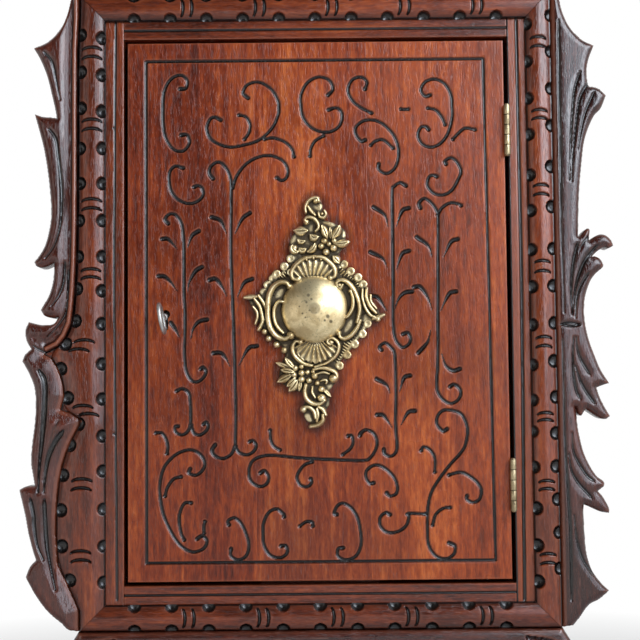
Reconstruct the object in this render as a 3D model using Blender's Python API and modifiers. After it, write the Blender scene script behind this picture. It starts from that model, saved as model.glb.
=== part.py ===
"""Carved mahogany wall cabinet: one hinged door with a cast brass ornament, a lock and its key.

X runs to the right, Z up and Y into the wall. The origin lies on the wall plane, on the centre
line, at the middle of the door's height, so the front of the cabinet looks along -Y.
On the carving, "reach" is measured outwards from the outer edge of the frame, and "proud" is how
far a surface stands in front of the face of the frame.
"""

import math

import bmesh
import bpy
import numpy as np
from mathutils import Matrix, Vector

MM = 0.001

# Seats and running clearances
SEAT = 0.3 * MM
CARVING_SEAT = 0.6 * MM
HINGE_PLAY = 0.3 * MM
LOCK_PLAY = 0.6 * MM

# Door
DOOR_WIDTH = 380 * MM
DOOR_HEIGHT = 540 * MM
DOOR_THICKNESS = 21 * MM
DOOR_GAP = 4 * MM
DOOR_SETBACK = 0.5 * MM
BORDER_INSET = 18.6 * MM
BORDER_WIDTH = 3.4 * MM
CLAMP_WIDTH = 45 * MM
CLAMP_THICKNESS = 11 * MM
CLAMP_SIDE_MARGIN = 32 * MM
CLAMP_END_MARGIN = 40 * MM

# Face frame, and the half-round band planted on it
CASE_DEPTH = 180 * MM
STRIP_WIDTH = 17.5 * MM
SCRATCH_WIDTH = 2.4 * MM
SCRATCH_DEPTH = 1.6 * MM
SCRATCH_INSET = 9 * MM
BAND_WIDTH = 25.5 * MM
BAND_RISE = 9 * MM
BAND_EDGE = 1.2 * MM
BAND_POINTS = 6
NOTCH_RADIUS = 6.5 * MM
NOTCH_PITCH = 36.5 * MM
NOTCH_PROUD = 5.5 * MM
NOTCH_SIDES = 8
LEFT_NOTCH_PHASE = 16 * MM
RIGHT_NOTCH_PHASE = 20 * MM

# Case
BOARD_THICKNESS = 18 * MM
CASE_INSET = 8 * MM
BACK_THICKNESS = 10 * MM
BACK_LAP = 8 * MM
SHELF_THICKNESS = 14 * MM
SHELF_DEPTH = 138 * MM
SHELF_SPACING = 194 * MM
CLEAT_SIZE = 12 * MM
RAIL_HEIGHT = 60 * MM
RAIL_THICKNESS = 16 * MM
HANGING_HOLE_SPACING = 240 * MM
HANGING_HOLE_RADIUS = 3 * MM
STOP_LENGTH = 120 * MM
STOP_OVERLAP = 7 * MM
STOP_HEIGHT = 22 * MM
STOP_THICKNESS = 10 * MM
EASED_EDGE = 0.8 * MM

# Butt hinges
HINGE_LENGTH = 51 * MM
HINGE_CENTRE = 177.5 * MM
HINGE_LEAF = 1.4 * MM
HINGE_LEAF_DEPTH = 17 * MM
KNUCKLE_RADIUS = 3.2 * MM
KNUCKLES = 5
PIN_RADIUS = 1.3 * MM

# Lock and key. The key's place is measured from the door's left edge and its middle.
KEY_INSET = 38 * MM
KEY_DROP = 5 * MM
KEY_DROOP = math.radians(8)
KEY_REST_TURN = math.radians(10)
SHANK_RADIUS = 2.3 * MM
SHANK_TAIL = 2 * MM
BIT_REACH = 12.5 * MM
BIT_WIDTH = 5 * MM
BIT_THICKNESS = 2.4 * MM
BOW_HEIGHT = 32 * MM
BOW_LENGTH = 25 * MM
BOW_THICKNESS = 4 * MM
BOW_RIM = 5 * MM
BOW_STANDOFF = 20 * MM
COLLAR_RADIUS = 3.8 * MM
COLLAR_LENGTH = 3 * MM
KEYHOLE_RADIUS = 4.4 * MM
KEYHOLE_SLOT = 5 * MM
KEYHOLE_MARGIN = 3 * MM
LOCK_WALL = 1.6 * MM
LOCK_DEPTH = 13.6 * MM
LOCK_EDGE_MARGIN = 1 * MM
LOCK_BEYOND_KEY = 34 * MM
LOCK_MARGIN = 4 * MM
BOLT_STANDOFF = 3 * MM
BOLT_ABOVE_KEY = 7 * MM
BOLT_HEIGHT = 17 * MM
BOLT_THICKNESS = 5 * MM
BOLT_THROW = 12 * MM
BOLT_TAIL = 27 * MM
BOLT_NOTCH_HEIGHT = 8 * MM
BOLT_NOTCH_LEFT = 7 * MM
BOLT_NOTCH_RIGHT = 19 * MM
KEEPER_WIDTH = 14 * MM
KEEPER_MARGIN = 8 * MM

# Leaf carving
CARVING_HEIGHT = 634 * MM
CARVING_WIDTH = 474 * MM
CARVING_BACK = 18 * MM
LEAF_EDGE = 2.2 * MM
LEAF_CROWN = 7 * MM
LEAF_ROOT = 3 * MM
LEAF_ROOT_STEP = 0.11 * MM
FILLET_WIDTH = 6 * MM
FILLET_PROUD = 5.5 * MM
LEFT_FILLET_END = -42
RIGHT_FILLET_END = -317

# Brass ornament
ORNAMENT_X = -3.4 * MM
ORNAMENT_Z = -1 * MM
ORNAMENT_PLATE = 3 * MM
DOME_WIDTH = 71 * MM
DOME_HEIGHT = 61 * MM
DOME_RISE = 17 * MM
DOME_SIDES = 20
SHELL_RISE = 7 * MM
SHELL_FLUTES = 7
SHELL_VALLEY = 0.55
SHELL_SWELL = 1.1
SHELL_LIP = 0.4
SCROLL_ENDS = 0.65
BLOSSOM_RISE = 0.8
BLOSSOM_SIDES = 8

# Round work, and the angles and distance that the modelling steps use
PIN_SIDES = 10
ROUND_SIDES = 16
SMOOTH_ANGLE = math.radians(50)
EASED_ANGLE = math.radians(40)
WELD = 0.001 * MM

# Places worked out from the sizes above
FRAME_THICKNESS = DOOR_SETBACK + DOOR_THICKNESS + SEAT
OPENING_X = DOOR_WIDTH / 2 + DOOR_GAP
OPENING_Z = DOOR_HEIGHT / 2 + DOOR_GAP
BAND_IN_X = OPENING_X + STRIP_WIDTH
BAND_IN_Z = OPENING_Z + STRIP_WIDTH
FRAME_X = BAND_IN_X + BAND_WIDTH
FRAME_Z = BAND_IN_Z + BAND_WIDTH
BACK_Y = -CASE_DEPTH
FACE_Y = BACK_Y - FRAME_THICKNESS
DOOR_FRONT_Y = FACE_Y + DOOR_SETBACK
DOOR_BACK_Y = DOOR_FRONT_Y + DOOR_THICKNESS
CASE_X = FRAME_X - CASE_INSET
CASE_Z = FRAME_Z - CASE_INSET
INNER_X = CASE_X - BOARD_THICKNESS
INNER_Z = CASE_Z - BOARD_THICKNESS
HINGE_X = DOOR_WIDTH / 2 + DOOR_GAP / 2
HINGE_Y = FACE_Y - KNUCKLE_RADIUS - SEAT
BORE_RADIUS = PIN_RADIUS + HINGE_PLAY
KEY_X = -DOOR_WIDTH / 2 + KEY_INSET
KEY_Z = -KEY_DROP
KEY_Y = (DOOR_FRONT_Y + DOOR_BACK_Y) / 2
LOCK_X = -DOOR_WIDTH / 2 + LOCK_EDGE_MARGIN
PLATE_Y = DOOR_BACK_Y + SEAT
CAP_Y = PLATE_Y + LOCK_WALL + SEAT
BOLT_Y = PLATE_Y + LOCK_WALL + BOLT_STANDOFF
BIT_DISTANCE = BOLT_Y + BOLT_THICKNESS / 2 - KEY_Y
LOCK_Z = KEY_Z + BIT_DISTANCE * math.tan(KEY_DROOP)
BOLT_Z = LOCK_Z + BOLT_ABOVE_KEY
LOCK_LOW = LOCK_Z - BIT_REACH - LOCK_MARGIN
LOCK_HIGH = BOLT_Z + BOLT_HEIGHT + LOCK_PLAY + LOCK_WALL

# Carved outlines, in millimetres of reach and height, set by hand. TIP marks the tip of a leaf
# or the valley between two, where the outline turns sharply.
TIP = True
LEFT_BAND_EDGE = [
    (0, 317), (0, 296), (2, 270), (2, 193), (3, 48), (4.5, 18), (7, -14), (11, -24), (16, -34),
    (27, -43), (35, -46), (29, -55), (24, -65), (19, -75), (14.5, -88), (16, -100), (6, -110),
    (6, -120), (11, -129), (16, -141), (20, -154), (23, -169), (24.5, -194), (25, -225),
    (21, -252), (11, -272), (0, -296), (0, -317),
]
RIGHT_BAND_EDGE = [(0, 317), (0, -317)]
LEFT_WING_EDGE = [
    (10, 317, TIP), (14, 300), (21, 284), (33, 270), (47, 263, TIP), (40, 250), (33, 232),
    (28, 212), (25, 199), (23.5, 190, TIP), (31, 191), (38, 191.5), (45.5, 194, TIP),
    (41, 178), (36, 158), (32, 133), (29.5, 108), (29, 93), (31, 78), (35, 63), (40.5, 52),
    (45.5, 45, TIP), (43, 40.5), (36, 39), (26, 43, TIP), (27, 27), (31, 13), (37, 2.5),
    (39.6, -2, TIP), (35, -8), (27, -10), (21.5, -9, TIP), (27, -16), (37.5, -17),
    (46, -15.5), (51.5, -14, TIP), (55, -23), (53.5, -33), (49, -41, TIP), (55, -46.5),
    (58, -53, TIP), (54, -60), (50, -68), (46, -79), (44.5, -95), (45.5, -115), (48, -135),
    (49.3, -153), (47.7, -165), (45.5, -178, TIP), (54, -178.5), (61, -182, TIP),
    (58, -195), (55, -208), (52, -225), (48, -240), (44, -251, TIP), (50, -257),
    (54, -266, TIP), (44, -282), (31, -298), (18, -309), (10, -317, TIP),
]
RIGHT_WING_EDGE = [
    (10, 317, TIP), (13, 300), (20, 283), (31, 270), (44, 263, TIP), (38, 248), (36, 234),
    (38, 222, TIP), (47, 220), (55, 213, TIP), (48, 200), (41, 193), (35, 181), (30.5, 166),
    (28, 147), (25.7, 126), (24.3, 106), (23.8, 78, TIP), (34.5, 79, TIP), (36.5, 74.5, TIP),
    (43, 73.3), (51, 72), (57, 67), (59, 61.5, TIP), (49, 58), (41, 51, TIP), (46, 48.5),
    (49.3, 43, TIP), (46, 39), (39.4, 32), (33, 24), (30, 15), (28.7, 3), (28.5, -8),
    (30, -20), (33, -34), (38, -47), (44, -60.5), (53, -75, TIP), (46.7, -77),
    (40.5, -79.5, TIP), (43, -90), (47.3, -98.5), (52.7, -108, TIP), (49, -111), (43, -110),
    (36, -105.7), (29, -101, TIP), (24.6, -108, TIP), (20.6, -105), (17.7, -99, TIP),
    (18.5, -108), (19.3, -123), (23, -143), (30, -159), (38, -168), (45, -173.5),
    (46, -178, TIP), (40, -183, TIP), (45, -189), (50.6, -199.5), (51, -205, TIP),
    (42, -203.6), (33, -199.6), (25, -196.5, TIP), (24.5, -206), (25, -225), (27, -246),
    (32, -262), (40, -274), (48, -282, TIP), (38, -290), (27, -296), (18, -308),
    (10, -317, TIP),
]
# A leaf is a row of sections from root to tip, each from one edge (reach, height) to the other.
LEFT_LEAVES = {
    "stem_and_hook": [
        (10, 305, 19, 303), (10, 192, 19, 192), (10.5, 117, 20, 117), (11, 48, 20.5, 55),
        (12.5, 18, 19.5, 25), (15, -10, 19.5, 2), (18.5, -24, 21, -9), (25, -35, 27, -16.5),
        (37, -42, 36, -18), (49, -37, 45, -17), (54, -24, 50, -15), (52, -15, 51, -14.6)],
    "upper_leaf": [
        (22.5, 194, 20.5, 196), (24, 205, 20.5, 220), (28.5, 225, 21, 245), (34, 245, 25, 262),
        (40.5, 256, 34, 269), (46, 262.5, 45, 263.5)],
    "crescent_leaf": [
        (44.5, 193.3, 44.8, 192.5), (31, 189, 40.5, 177), (25.5, 170, 35.8, 158),
        (22, 147, 31.6, 133), (21, 116, 29.2, 108), (22, 88, 28.7, 92), (25, 66, 31, 76),
        (31, 50, 35.5, 61.5), (37, 42, 41, 51), (44, 43.5, 44.6, 45)],
    "middle_leaf": [
        (21, 60, 24, 50), (21.5, 40, 26, 38), (22, 20, 26.6, 26), (26, 4, 30.6, 13.4),
        (32, -6.5, 36.3, 3.3), (38.3, -4, 38.9, -2.5)],
    "outer_leaf": [
        (56.5, -51.5, 57.2, -53), (46, -58, 53.3, -60.5), (39, -70, 48.5, -70),
        (36.5, -87, 44.3, -88), (37, -108, 44.3, -108), (39.5, -133, 47, -133),
        (42, -160, 47.8, -157), (44.2, -174, 45.3, -175)],
    "inner_leaf": [
        (39, -47.5, 47, -46), (31.5, -56, 43, -58), (26.5, -66, 37.5, -70),
        (21.5, -77, 35.3, -87), (19, -92, 35.8, -108), (22, -112, 38.3, -133),
        (30, -140, 40.8, -158), (38, -170, 42, -174)],
    "inner_frond": [
        (8, -111.5, 16.5, -104), (8.5, -121, 22, -113), (13.5, -130, 27, -131),
        (18.5, -143, 32.5, -152), (25, -169, 36.5, -172), (26.5, -194, 38, -195),
        (27, -225, 38, -225), (25, -250, 37, -252), (31, -282, 34, -282)],
    "lower_leaf": [
        (52, -181, 60, -182.7), (46, -192, 57.3, -195), (43, -207, 54.2, -208),
        (41, -225, 51.2, -225), (41, -240, 46.5, -240), (42.5, -255, 45.5, -254),
        (52.3, -265.7, 53, -264.7)],
}
RIGHT_LEAVES = {
    "upper_stem": [(8, 305, 15, 303), (8, 200, 16, 200), (8, 60, 15, 60), (8, -13, 16, -13)],
    "lower_stem": [
        (8, -24, 15, -24), (8.5, -60, 15.5, -60), (9, -100, 16.5, -99), (10, -140, 17, -140),
        (11, -200, 21, -200), (12, -300, 18, -300)],
    "shoulder_leaf": [
        (19, 82, 23.2, 81), (19, 128, 25.1, 126), (21, 166, 29.5, 160), (26, 192, 36, 184),
        (36, 206, 44, 197), (53, 213, 53.8, 212)],
    "top_leaf": [
        (18.5, 226, 33, 223), (20, 246, 36, 238), (27, 262, 38.5, 250.5), (42, 263.2, 43, 262.2)],
    "upper_flame": [
        (17, -6, 20, -6), (17.5, 35, 22, 28), (21, 62, 28, 45), (31, 75, 38, 51.5),
        (43, 72.5, 46, 57), (52, 70.5, 53, 59.5), (57.5, 65, 57.8, 62)],
    "second_flame": [
        (21.5, -4, 27.6, -8), (24, 22, 29, 13), (31, 40, 34, 25.5), (41, 49.8, 41.5, 34.5),
        (46, 47.5, 46, 39.8), (48.6, 44.5, 48.8, 43)],
    "third_flame": [
        (22.5, -24, 29.5, -21), (24.5, -42, 33, -36), (31, -60, 38.5, -49), (40, -74, 44.5, -62.5),
        (47, -76.3, 49.5, -70.5), (52.2, -75.4, 52.5, -74.8)],
    "fourth_flame": [
        (18.5, -26, 21.5, -26), (20, -52, 24.5, -47), (25, -77, 31, -65), (33, -98, 40, -80.5),
        (43, -109, 44.5, -94.5), (49, -110, 49, -102.5), (52, -108, 52.2, -107.2)],
    "small_flame": [
        (16.2, -40, 18, -40), (17, -70, 20, -64), (18.4, -97, 24.5, -86), (21, -104.2, 28, -100.8),
        (24.3, -107.2, 25, -106.8)],
    "fifth_flame": [
        (18.2, -130, 18.9, -126), (19.5, -147, 22.5, -144), (24.5, -166, 29.5, -159.5),
        (32, -178.3, 37.5, -168.7), (39.5, -182.2, 42.5, -173), (45.2, -178, 45.6, -177)],
    "sixth_flame": [
        (18, -152, 20, -157), (20, -172, 25, -170), (24, -190, 33, -180.5), (33, -199, 41, -184.6),
        (42, -203, 47, -194), (50.2, -204.6, 50.6, -203.8)],
    "foot_leaf": [
        (23.5, -212, 24.4, -212), (24, -240, 26.5, -243), (29, -266, 32, -263),
        (38, -284, 40.5, -275.5), (47, -283, 47.3, -281.8)],
}
# Half outlines of the crest and the apron: outwards from the centre line, then away from the case.
CREST_EDGE = [
    (238, 0, TIP), (247, 14), (258, 26), (272, 35, TIP), (258, 42), (242, 44), (228, 40, TIP),
    (233, 54), (239, 69, TIP), (222, 66), (206, 58), (194, 51, TIP), (188, 66),
    (181, 86, TIP), (168, 77), (152, 73, TIP), (149, 92), (140, 114, TIP), (126, 101),
    (111, 97, TIP), (105, 118), (92, 137, TIP), (80, 121), (64, 116, TIP), (52, 124),
    (38, 120), (30, 106), (33, 92, TIP), (25, 98), (22, 116), (29, 134), (25, 150), (12, 160),
    (7, 173), (0, 188, TIP),
]
CREST_LEAVES = {
    "corner": [(196, 10, 206, 30), (222, 12, 224, 36), (246, 20, 244, 41), (269, 35, 268, 37)],
    "first": [(186, 24, 176, 34), (205, 30, 192, 46), (224, 42, 212, 58), (237, 66, 235, 67)],
    "second": [(158, 22, 142, 30), (170, 40, 150, 56), (180, 60, 166, 73), (181, 83, 179, 83)],
    "third": [(118, 30, 100, 36), (132, 56, 108, 70), (143, 82, 124, 98), (141, 110, 139, 111)],
    "fourth": [(76, 40, 58, 46), (92, 72, 64, 84), (100, 104, 78, 116), (93, 133, 91, 133)],
    "volute": [(34, 36, 24, 40), (54, 60, 42, 66), (60, 90, 46, 92), (50, 118, 42, 106),
               (36, 112, 35, 108)],
}
CREST_PLUME = [(-16, 30, 16, 30), (-18, 90, 18, 90), (-22, 122, 22, 122), (-16, 148, 16, 148),
               (-3, 180, 3, 180)]
APRON_EDGE = [
    (238, 0, TIP), (246, 13), (255, 27), (266, 40, TIP), (250, 41), (236, 36, TIP), (229, 50),
    (216, 62, TIP), (204, 51), (190, 46, TIP), (172, 59), (152, 65), (134, 57), (123, 44, TIP),
    (112, 58), (97, 76, TIP), (88, 63), (74, 57, TIP), (61, 76), (44, 98, TIP), (38, 85),
    (28, 79, TIP), (23, 100), (14, 117), (0, 132, TIP),
]
APRON_LEAVES = {
    "corner": [(202, 8, 206, 24), (226, 12, 224, 32), (246, 22, 244, 38), (263, 39, 262, 40)],
    "first": [(196, 18, 174, 27), (212, 28, 191, 40), (224, 42, 204, 48), (217, 59, 215, 59)],
    "lobe": [(172, 14, 150, 14), (180, 34, 162, 32), (172, 54, 160, 46), (152, 62, 148, 50),
             (132, 53, 134, 48)],
    "third": [(116, 16, 92, 20), (118, 36, 84, 40), (110, 56, 90, 60), (97.5, 73, 96, 73)],
    "fourth": [(76, 20, 46, 24), (74, 46, 34, 50), (60, 72, 36, 78), (45, 94, 43.5, 94)],
}
APRON_PLUME = [(-18, 22, 18, 22), (-22, 60, 22, 60), (-20, 92, 20, 92), (-12, 114, 12, 114),
               (-2, 126, 2, 126)]

# The ornament's outline and scrolls, in millimetres from its centre, with each scroll's radius.
ORNAMENT_EDGE = [
    (-69, 11, TIP), (-56, 16), (-46, 28), (-36, 39), (-27, 50), (-28, 64), (-22, 78), (-12, 88),
    (-10, 102), (-5, 113), (4, 114), (11, 106), (10, 92, TIP), (22, 88), (33, 80), (33, 64),
    (26, 50), (36, 38), (48, 27), (58, 12), (69, -6, TIP), (60, -14), (50, -26), (38, -42),
    (26, -56), (24, -72), (17, -82), (16, -95), (12, -104), (10, -116), (0, -119), (-11, -112),
    (-15, -100), (-11, -86, TIP), (-24, -82), (-38, -72), (-37, -54, TIP), (-32, -42),
    (-44, -31), (-54, -20), (-62, -6),
]
ORNAMENT_SCROLLS = {
    "left_c": ([(-24, 22), (-35, 24), (-45, 10), (-46, -6), (-40, -20), (-28, -27), (-22, -22)], 4),
    "right_c": ([(25, 25), (31, 20), (39, 20), (44, 8), (43, -8), (38, -16)], 3.8),
    "top_arch": ([(-23, 34), (-23, 46), (-13, 54), (0, 56), (13, 54), (22, 46), (24, 34)], 3.2),
    "low_arch": ([(-22, -34), (-20, -46), (-8, -54), (6, -54), (18, -48), (23, -38)], 3.2),
    "low_right": ([(24, -26), (32, -29), (40, -23), (45, -12)], 3.2),
    "left_flame": ([(-65, 10), (-60, 1), (-57, -12)], 3.4),
    "right_flame": ([(50, 21), (57, 6), (66, -5)], 3.4),
    "top_plume": ([(-7, 78), (-2, 90), (5, 96), (0, 106)], 3.6),
    "low_c": ([(-9, -74), (-8, -88), (4, -94), (10, -86)], 3.6),
    "tail": ([(-10, -100), (0, -102), (5, -112)], 3.4),
}
ORNAMENT_BLOSSOMS = [(-19, 66, 8), (17, 68, 9), (26, 78, 5), (-28, -66, 8), (-10, -66, 8), (14, -67, 6)]
ORNAMENT_SHELLS = [((0, 20), 14, 33, 42, 138), ((0, -20), 14, 31, 222, 318)]

# Finishes: name, colour, roughness, metallic value
MAHOGANY = ("carved_mahogany", (0.20, 0.055, 0.025), 0.35, 0.0)
CASE_WOOD = ("case_mahogany", (0.16, 0.055, 0.028), 0.5, 0.0)
BACK_WOOD = ("back_softwood", (0.30, 0.17, 0.08), 0.7, 0.0)
BRASS = ("aged_brass", (0.52, 0.40, 0.20), 0.35, 1.0)
STEEL = ("worn_steel", (0.45, 0.44, 0.42), 0.35, 1.0)


def clear_scene():
    for obj in list(bpy.data.objects):
        bpy.data.objects.remove(obj, do_unlink=True)


def new_collection(name):
    collection = bpy.data.collections.new(name)
    bpy.context.scene.collection.children.link(collection)
    return collection


clear_scene()
CABINET = new_collection("wall_cabinet")
CUTTERS = new_collection("cutters")


def material(finish):
    name, colour, roughness, metallic = finish
    made = bpy.data.materials.get(name)
    if made is None:
        made = bpy.data.materials.new(name)
        made.use_nodes = True
        shader = made.node_tree.nodes["Principled BSDF"]
        shader.inputs["Base Color"].default_value = (*colour, 1)
        shader.inputs["Roughness"].default_value = roughness
        shader.inputs["Metallic"].default_value = metallic
    return made


def add_object(name, bm, finish, smooth=False):
    """Makes the mesh an object of the cabinet, its faces turned outwards."""
    bmesh.ops.recalc_face_normals(bm, faces=bm.faces)
    mesh = bpy.data.meshes.new(name)
    bm.to_mesh(mesh)
    bm.free()
    mesh.materials.append(material(finish))
    if smooth:
        mesh.shade_smooth()
        mesh.set_sharp_from_angle(angle=SMOOTH_ANGLE)
    obj = bpy.data.objects.new(name, mesh)
    CABINET.objects.link(obj)
    return obj


def as_helper(obj, collection=None):
    """Takes a shape out of the cabinet, so that only its cut or its join is left."""
    CABINET.objects.unlink(obj)
    (collection or CUTTERS).objects.link(obj)
    obj.hide_render = True
    obj.display_type = "WIRE"
    return obj


def helper_group(name):
    """A collection for shapes that are joined to one piece together."""
    group = bpy.data.collections.new(name)
    CUTTERS.children.link(group)
    return group


def boolean(target, operation, helper=None, group=None):
    modifier = target.modifiers.new(operation.lower(), "BOOLEAN")
    modifier.operation = operation
    modifier.solver = "EXACT"
    if group:
        modifier.operand_type = "COLLECTION"
        modifier.collection = group
    else:
        modifier.object = helper


def ease_edges(obj, width=EASED_EDGE):
    modifier = obj.modifiers.new("eased_edges", "BEVEL")
    modifier.width = width
    modifier.segments = 1
    modifier.limit_method = "ANGLE"
    modifier.angle_limit = EASED_ANGLE


def box(name, low, high, finish, eased=False):
    bm = bmesh.new()
    bmesh.ops.create_cube(bm, size=1)
    bmesh.ops.scale(bm, vec=Vector(high) - Vector(low), verts=bm.verts)
    bmesh.ops.translate(bm, vec=(Vector(high) + Vector(low)) / 2, verts=bm.verts)
    obj = add_object(name, bm, finish)
    if eased:
        ease_edges(obj)
    return obj


def bar(name, radius, start, end, finish, sides=ROUND_SIDES):
    """A round bar between two points."""
    axis = Vector(end) - Vector(start)
    turn = Vector((0, 0, 1)).rotation_difference(axis).to_matrix().to_4x4()
    place = Matrix.Translation((Vector(start) + Vector(end)) / 2) @ turn
    bm = bmesh.new()
    bmesh.ops.create_cone(bm, cap_ends=True, segments=sides, radius1=radius, radius2=radius,
                          depth=axis.length, matrix=place)
    return add_object(name, bm, finish, smooth=True)


def half_ball(name, centre, size, sides, finish):
    """The front half of an ellipsoid, closed by a flat back."""
    place = Matrix.Translation(centre) @ Matrix.Diagonal((*size, 1))
    bm = bmesh.new()
    bmesh.ops.create_uvsphere(bm, u_segments=sides, v_segments=sides // 2 + 1, radius=1,
                              matrix=place @ Matrix.Rotation(math.pi / 2, 4, "X"))
    cut = bmesh.ops.bisect_plane(bm, geom=[*bm.verts, *bm.edges, *bm.faces],
                                 plane_co=centre, plane_no=(0, 1, 0), clear_outer=True)
    rim = [item for item in cut["geom_cut"] if isinstance(item, bmesh.types.BMEdge)]
    bmesh.ops.contextual_create(bm, geom=rim)
    return add_object(name, bm, finish, smooth=True)


def from_curve(name, curve, place, finish, smooth=False):
    """Makes a curve a closed mesh at a place, its loose caps welded."""
    guide = bpy.data.objects.new(name + "_guide", curve)
    CUTTERS.objects.link(guide)
    bpy.context.view_layer.update()
    evaluated = guide.evaluated_get(bpy.context.evaluated_depsgraph_get())
    mesh = bpy.data.meshes.new_from_object(evaluated)
    bpy.data.objects.remove(guide)
    bm = bmesh.new()
    bm.from_mesh(mesh)
    bpy.data.meshes.remove(mesh)
    bmesh.ops.remove_doubles(bm, verts=bm.verts, dist=WELD)
    bmesh.ops.transform(bm, matrix=place, verts=bm.verts)
    return add_object(name, bm, finish, smooth)


def flat_curve(thickness, steps):
    curve = bpy.data.curves.new("outline", "CURVE")
    curve.dimensions = "2D"
    curve.fill_mode = "BOTH"
    curve.extrude = thickness / 2
    curve.resolution_u = steps
    return curve


def add_outline(curve, points):
    """A closed outline: straight between plain pairs, or smooth but for its tips."""
    spline = curve.splines.new("BEZIER")
    spline.use_cyclic_u = True
    spline.bezier_points.add(len(points) - 1)
    for knot, point in zip(spline.bezier_points, points):
        knot.co = (point[0], point[1], 0)
        knot.handle_left_type = knot.handle_right_type = "VECTOR" if len(point) > 2 else "AUTO"


def slab(name, points, low, high, finish, along="Y", steps=1):
    """A flat outline given a thickness along an axis, from low to high.

    The outline is (x, z) along Y, (x, y) along Z and (y, z) along X."""
    curve = flat_curve(high - low, steps)
    add_outline(curve, points)
    middle = (low + high) / 2
    place = {
        "Y": Matrix.Translation((0, middle, 0)) @ Matrix.Rotation(math.pi / 2, 4, "X"),
        "Z": Matrix.Translation((0, 0, middle)),
        "X": Matrix.Translation((middle, 0, 0)) @ Matrix(((0, 0, 1, 0), (1, 0, 0, 0),
                                                        (0, 1, 0, 0), (0, 0, 0, 1))),
    }[along]
    return from_curve(name, curve, place, finish)


def corners(points):
    return [(a, b, TIP) for a, b in points]


def loft(name, rings, finish, smooth=False):
    """A solid through a row of closed rings with equal numbers of points, capped at both ends."""
    bm = bmesh.new()
    rows = [[bm.verts.new(point) for point in ring] for ring in rings]
    for row, after in zip(rows, rows[1:]):
        for here in range(len(row)):
            beside = (here + 1) % len(row)
            bm.faces.new((row[here], row[beside], after[beside], after[here]))
    bm.faces.new(rows[0])
    bm.faces.new(rows[-1])
    return add_object(name, bm, finish, smooth)


def smooth_rows(rows, steps):
    """Rows of numbers on a smooth line through the given rows, with steps to each span."""
    given = np.array(rows, float)
    before = np.vstack([2 * given[0] - given[1], given[:-1]])
    after = np.vstack([given[1:], 2 * given[-1] - given[-2]])
    slope = (after - before) / 2
    made = []
    for start, end, leave, arrive in zip(given, given[1:], slope, slope[1:]):
        for t in np.arange(steps) / steps:
            made.append((2 * t**3 - 3 * t**2 + 1) * start + (t**3 - 2 * t**2 + t) * leave
                        + (3 * t**2 - 2 * t**3) * end + (t**3 - t**2) * arrive)
    return np.array([*made, given[-1]])


# Case

def make_case():
    for side, sign in (("left", -1), ("right", 1)):
        xs = sorted((sign * INNER_X, sign * CASE_X))
        box(f"case_side_{side}", (xs[0], BACK_Y + SEAT, -CASE_Z), (xs[1], 0, CASE_Z), CASE_WOOD, True)
    across = INNER_X - SEAT
    box("case_top", (-across, BACK_Y + SEAT, INNER_Z), (across, 0, CASE_Z), CASE_WOOD, True)
    box("case_bottom", (-across, BACK_Y + SEAT, -CASE_Z), (across, 0, -INNER_Z), CASE_WOOD, True)
    make_back(across)
    make_shelves(across)
    for end, sign in (("top", 1), ("bottom", -1)):
        edges = sorted((sign * (OPENING_Z - STOP_OVERLAP),
                        sign * (OPENING_Z - STOP_OVERLAP + STOP_HEIGHT)))
        box(f"door_stop_{end}", (-STOP_LENGTH / 2, BACK_Y + SEAT, edges[0]),
            (STOP_LENGTH / 2, BACK_Y + SEAT + STOP_THICKNESS, edges[1]), CASE_WOOD, True)


def back_board_section(left, right, lapped_left, lapped_right):
    """Section of a back board from above: a rebate where the last board laps it, a tongue over the next."""
    half = BACK_THICKNESS / 2
    section = [(left, 0), (right, 0)]
    if lapped_right:
        tongue = right + BACK_LAP
        section += [(right, -half - SEAT), (tongue, -half - SEAT), (tongue, -BACK_THICKNESS)]
    else:
        section += [(right, -BACK_THICKNESS)]
    if lapped_left:
        rebate = left + BACK_LAP + SEAT
        section += [(rebate, -BACK_THICKNESS), (rebate, -half), (left, -half)]
    else:
        section += [(left, -BACK_THICKNESS)]
    return section


def make_back(across):
    """Three upright boards, each lapped over the next, and the rail that takes the wall screws."""
    names = ("left", "centre", "right")
    last = len(names) - 1
    width = (2 * across - last * SEAT) / len(names)
    high = INNER_Z - SEAT
    boards = []
    for order, name in enumerate(names):
        left = -across + order * (width + SEAT)
        section = back_board_section(left, left + width, order > 0, order < last)
        boards.append(slab(f"back_board_{name}", corners(section), -high, high, BACK_WOOD, "Z"))
    rail = box("hanging_rail", (-across, -BACK_THICKNESS - SEAT - RAIL_THICKNESS, high - RAIL_HEIGHT),
               (across, -BACK_THICKNESS - SEAT, high), CASE_WOOD, True)
    for sign in (-1, 1):
        x, z = sign * HANGING_HOLE_SPACING / 2, high - RAIL_HEIGHT / 2
        drill = as_helper(bar("wall_screw_hole", HANGING_HOLE_RADIUS, (x, -CASE_DEPTH / 2, z),
                              (x, CASE_DEPTH / 2, z), STEEL))
        boolean(rail, "DIFFERENCE", drill)
        boolean(boards[0 if sign < 0 else last], "DIFFERENCE", drill)


def make_shelves(across):
    back = -BACK_THICKNESS - SEAT
    for name, sign in (("upper", 1), ("lower", -1)):
        top = sign * SHELF_SPACING / 2 + SHELF_THICKNESS / 2
        low = top - SHELF_THICKNESS
        box(f"shelf_{name}", (-across, back - SHELF_DEPTH, low), (across, back, top), CASE_WOOD, True)
        for side, turn in (("left", -1), ("right", 1)):
            xs = sorted((turn * across, turn * (across - CLEAT_SIZE)))
            box(f"shelf_cleat_{name}_{side}", (xs[0], back - SHELF_DEPTH + CLEAT_SIZE,
                low - SEAT - CLEAT_SIZE), (xs[1], back, low - SEAT), CASE_WOOD, True)


# Face frame, bands and carving

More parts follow.
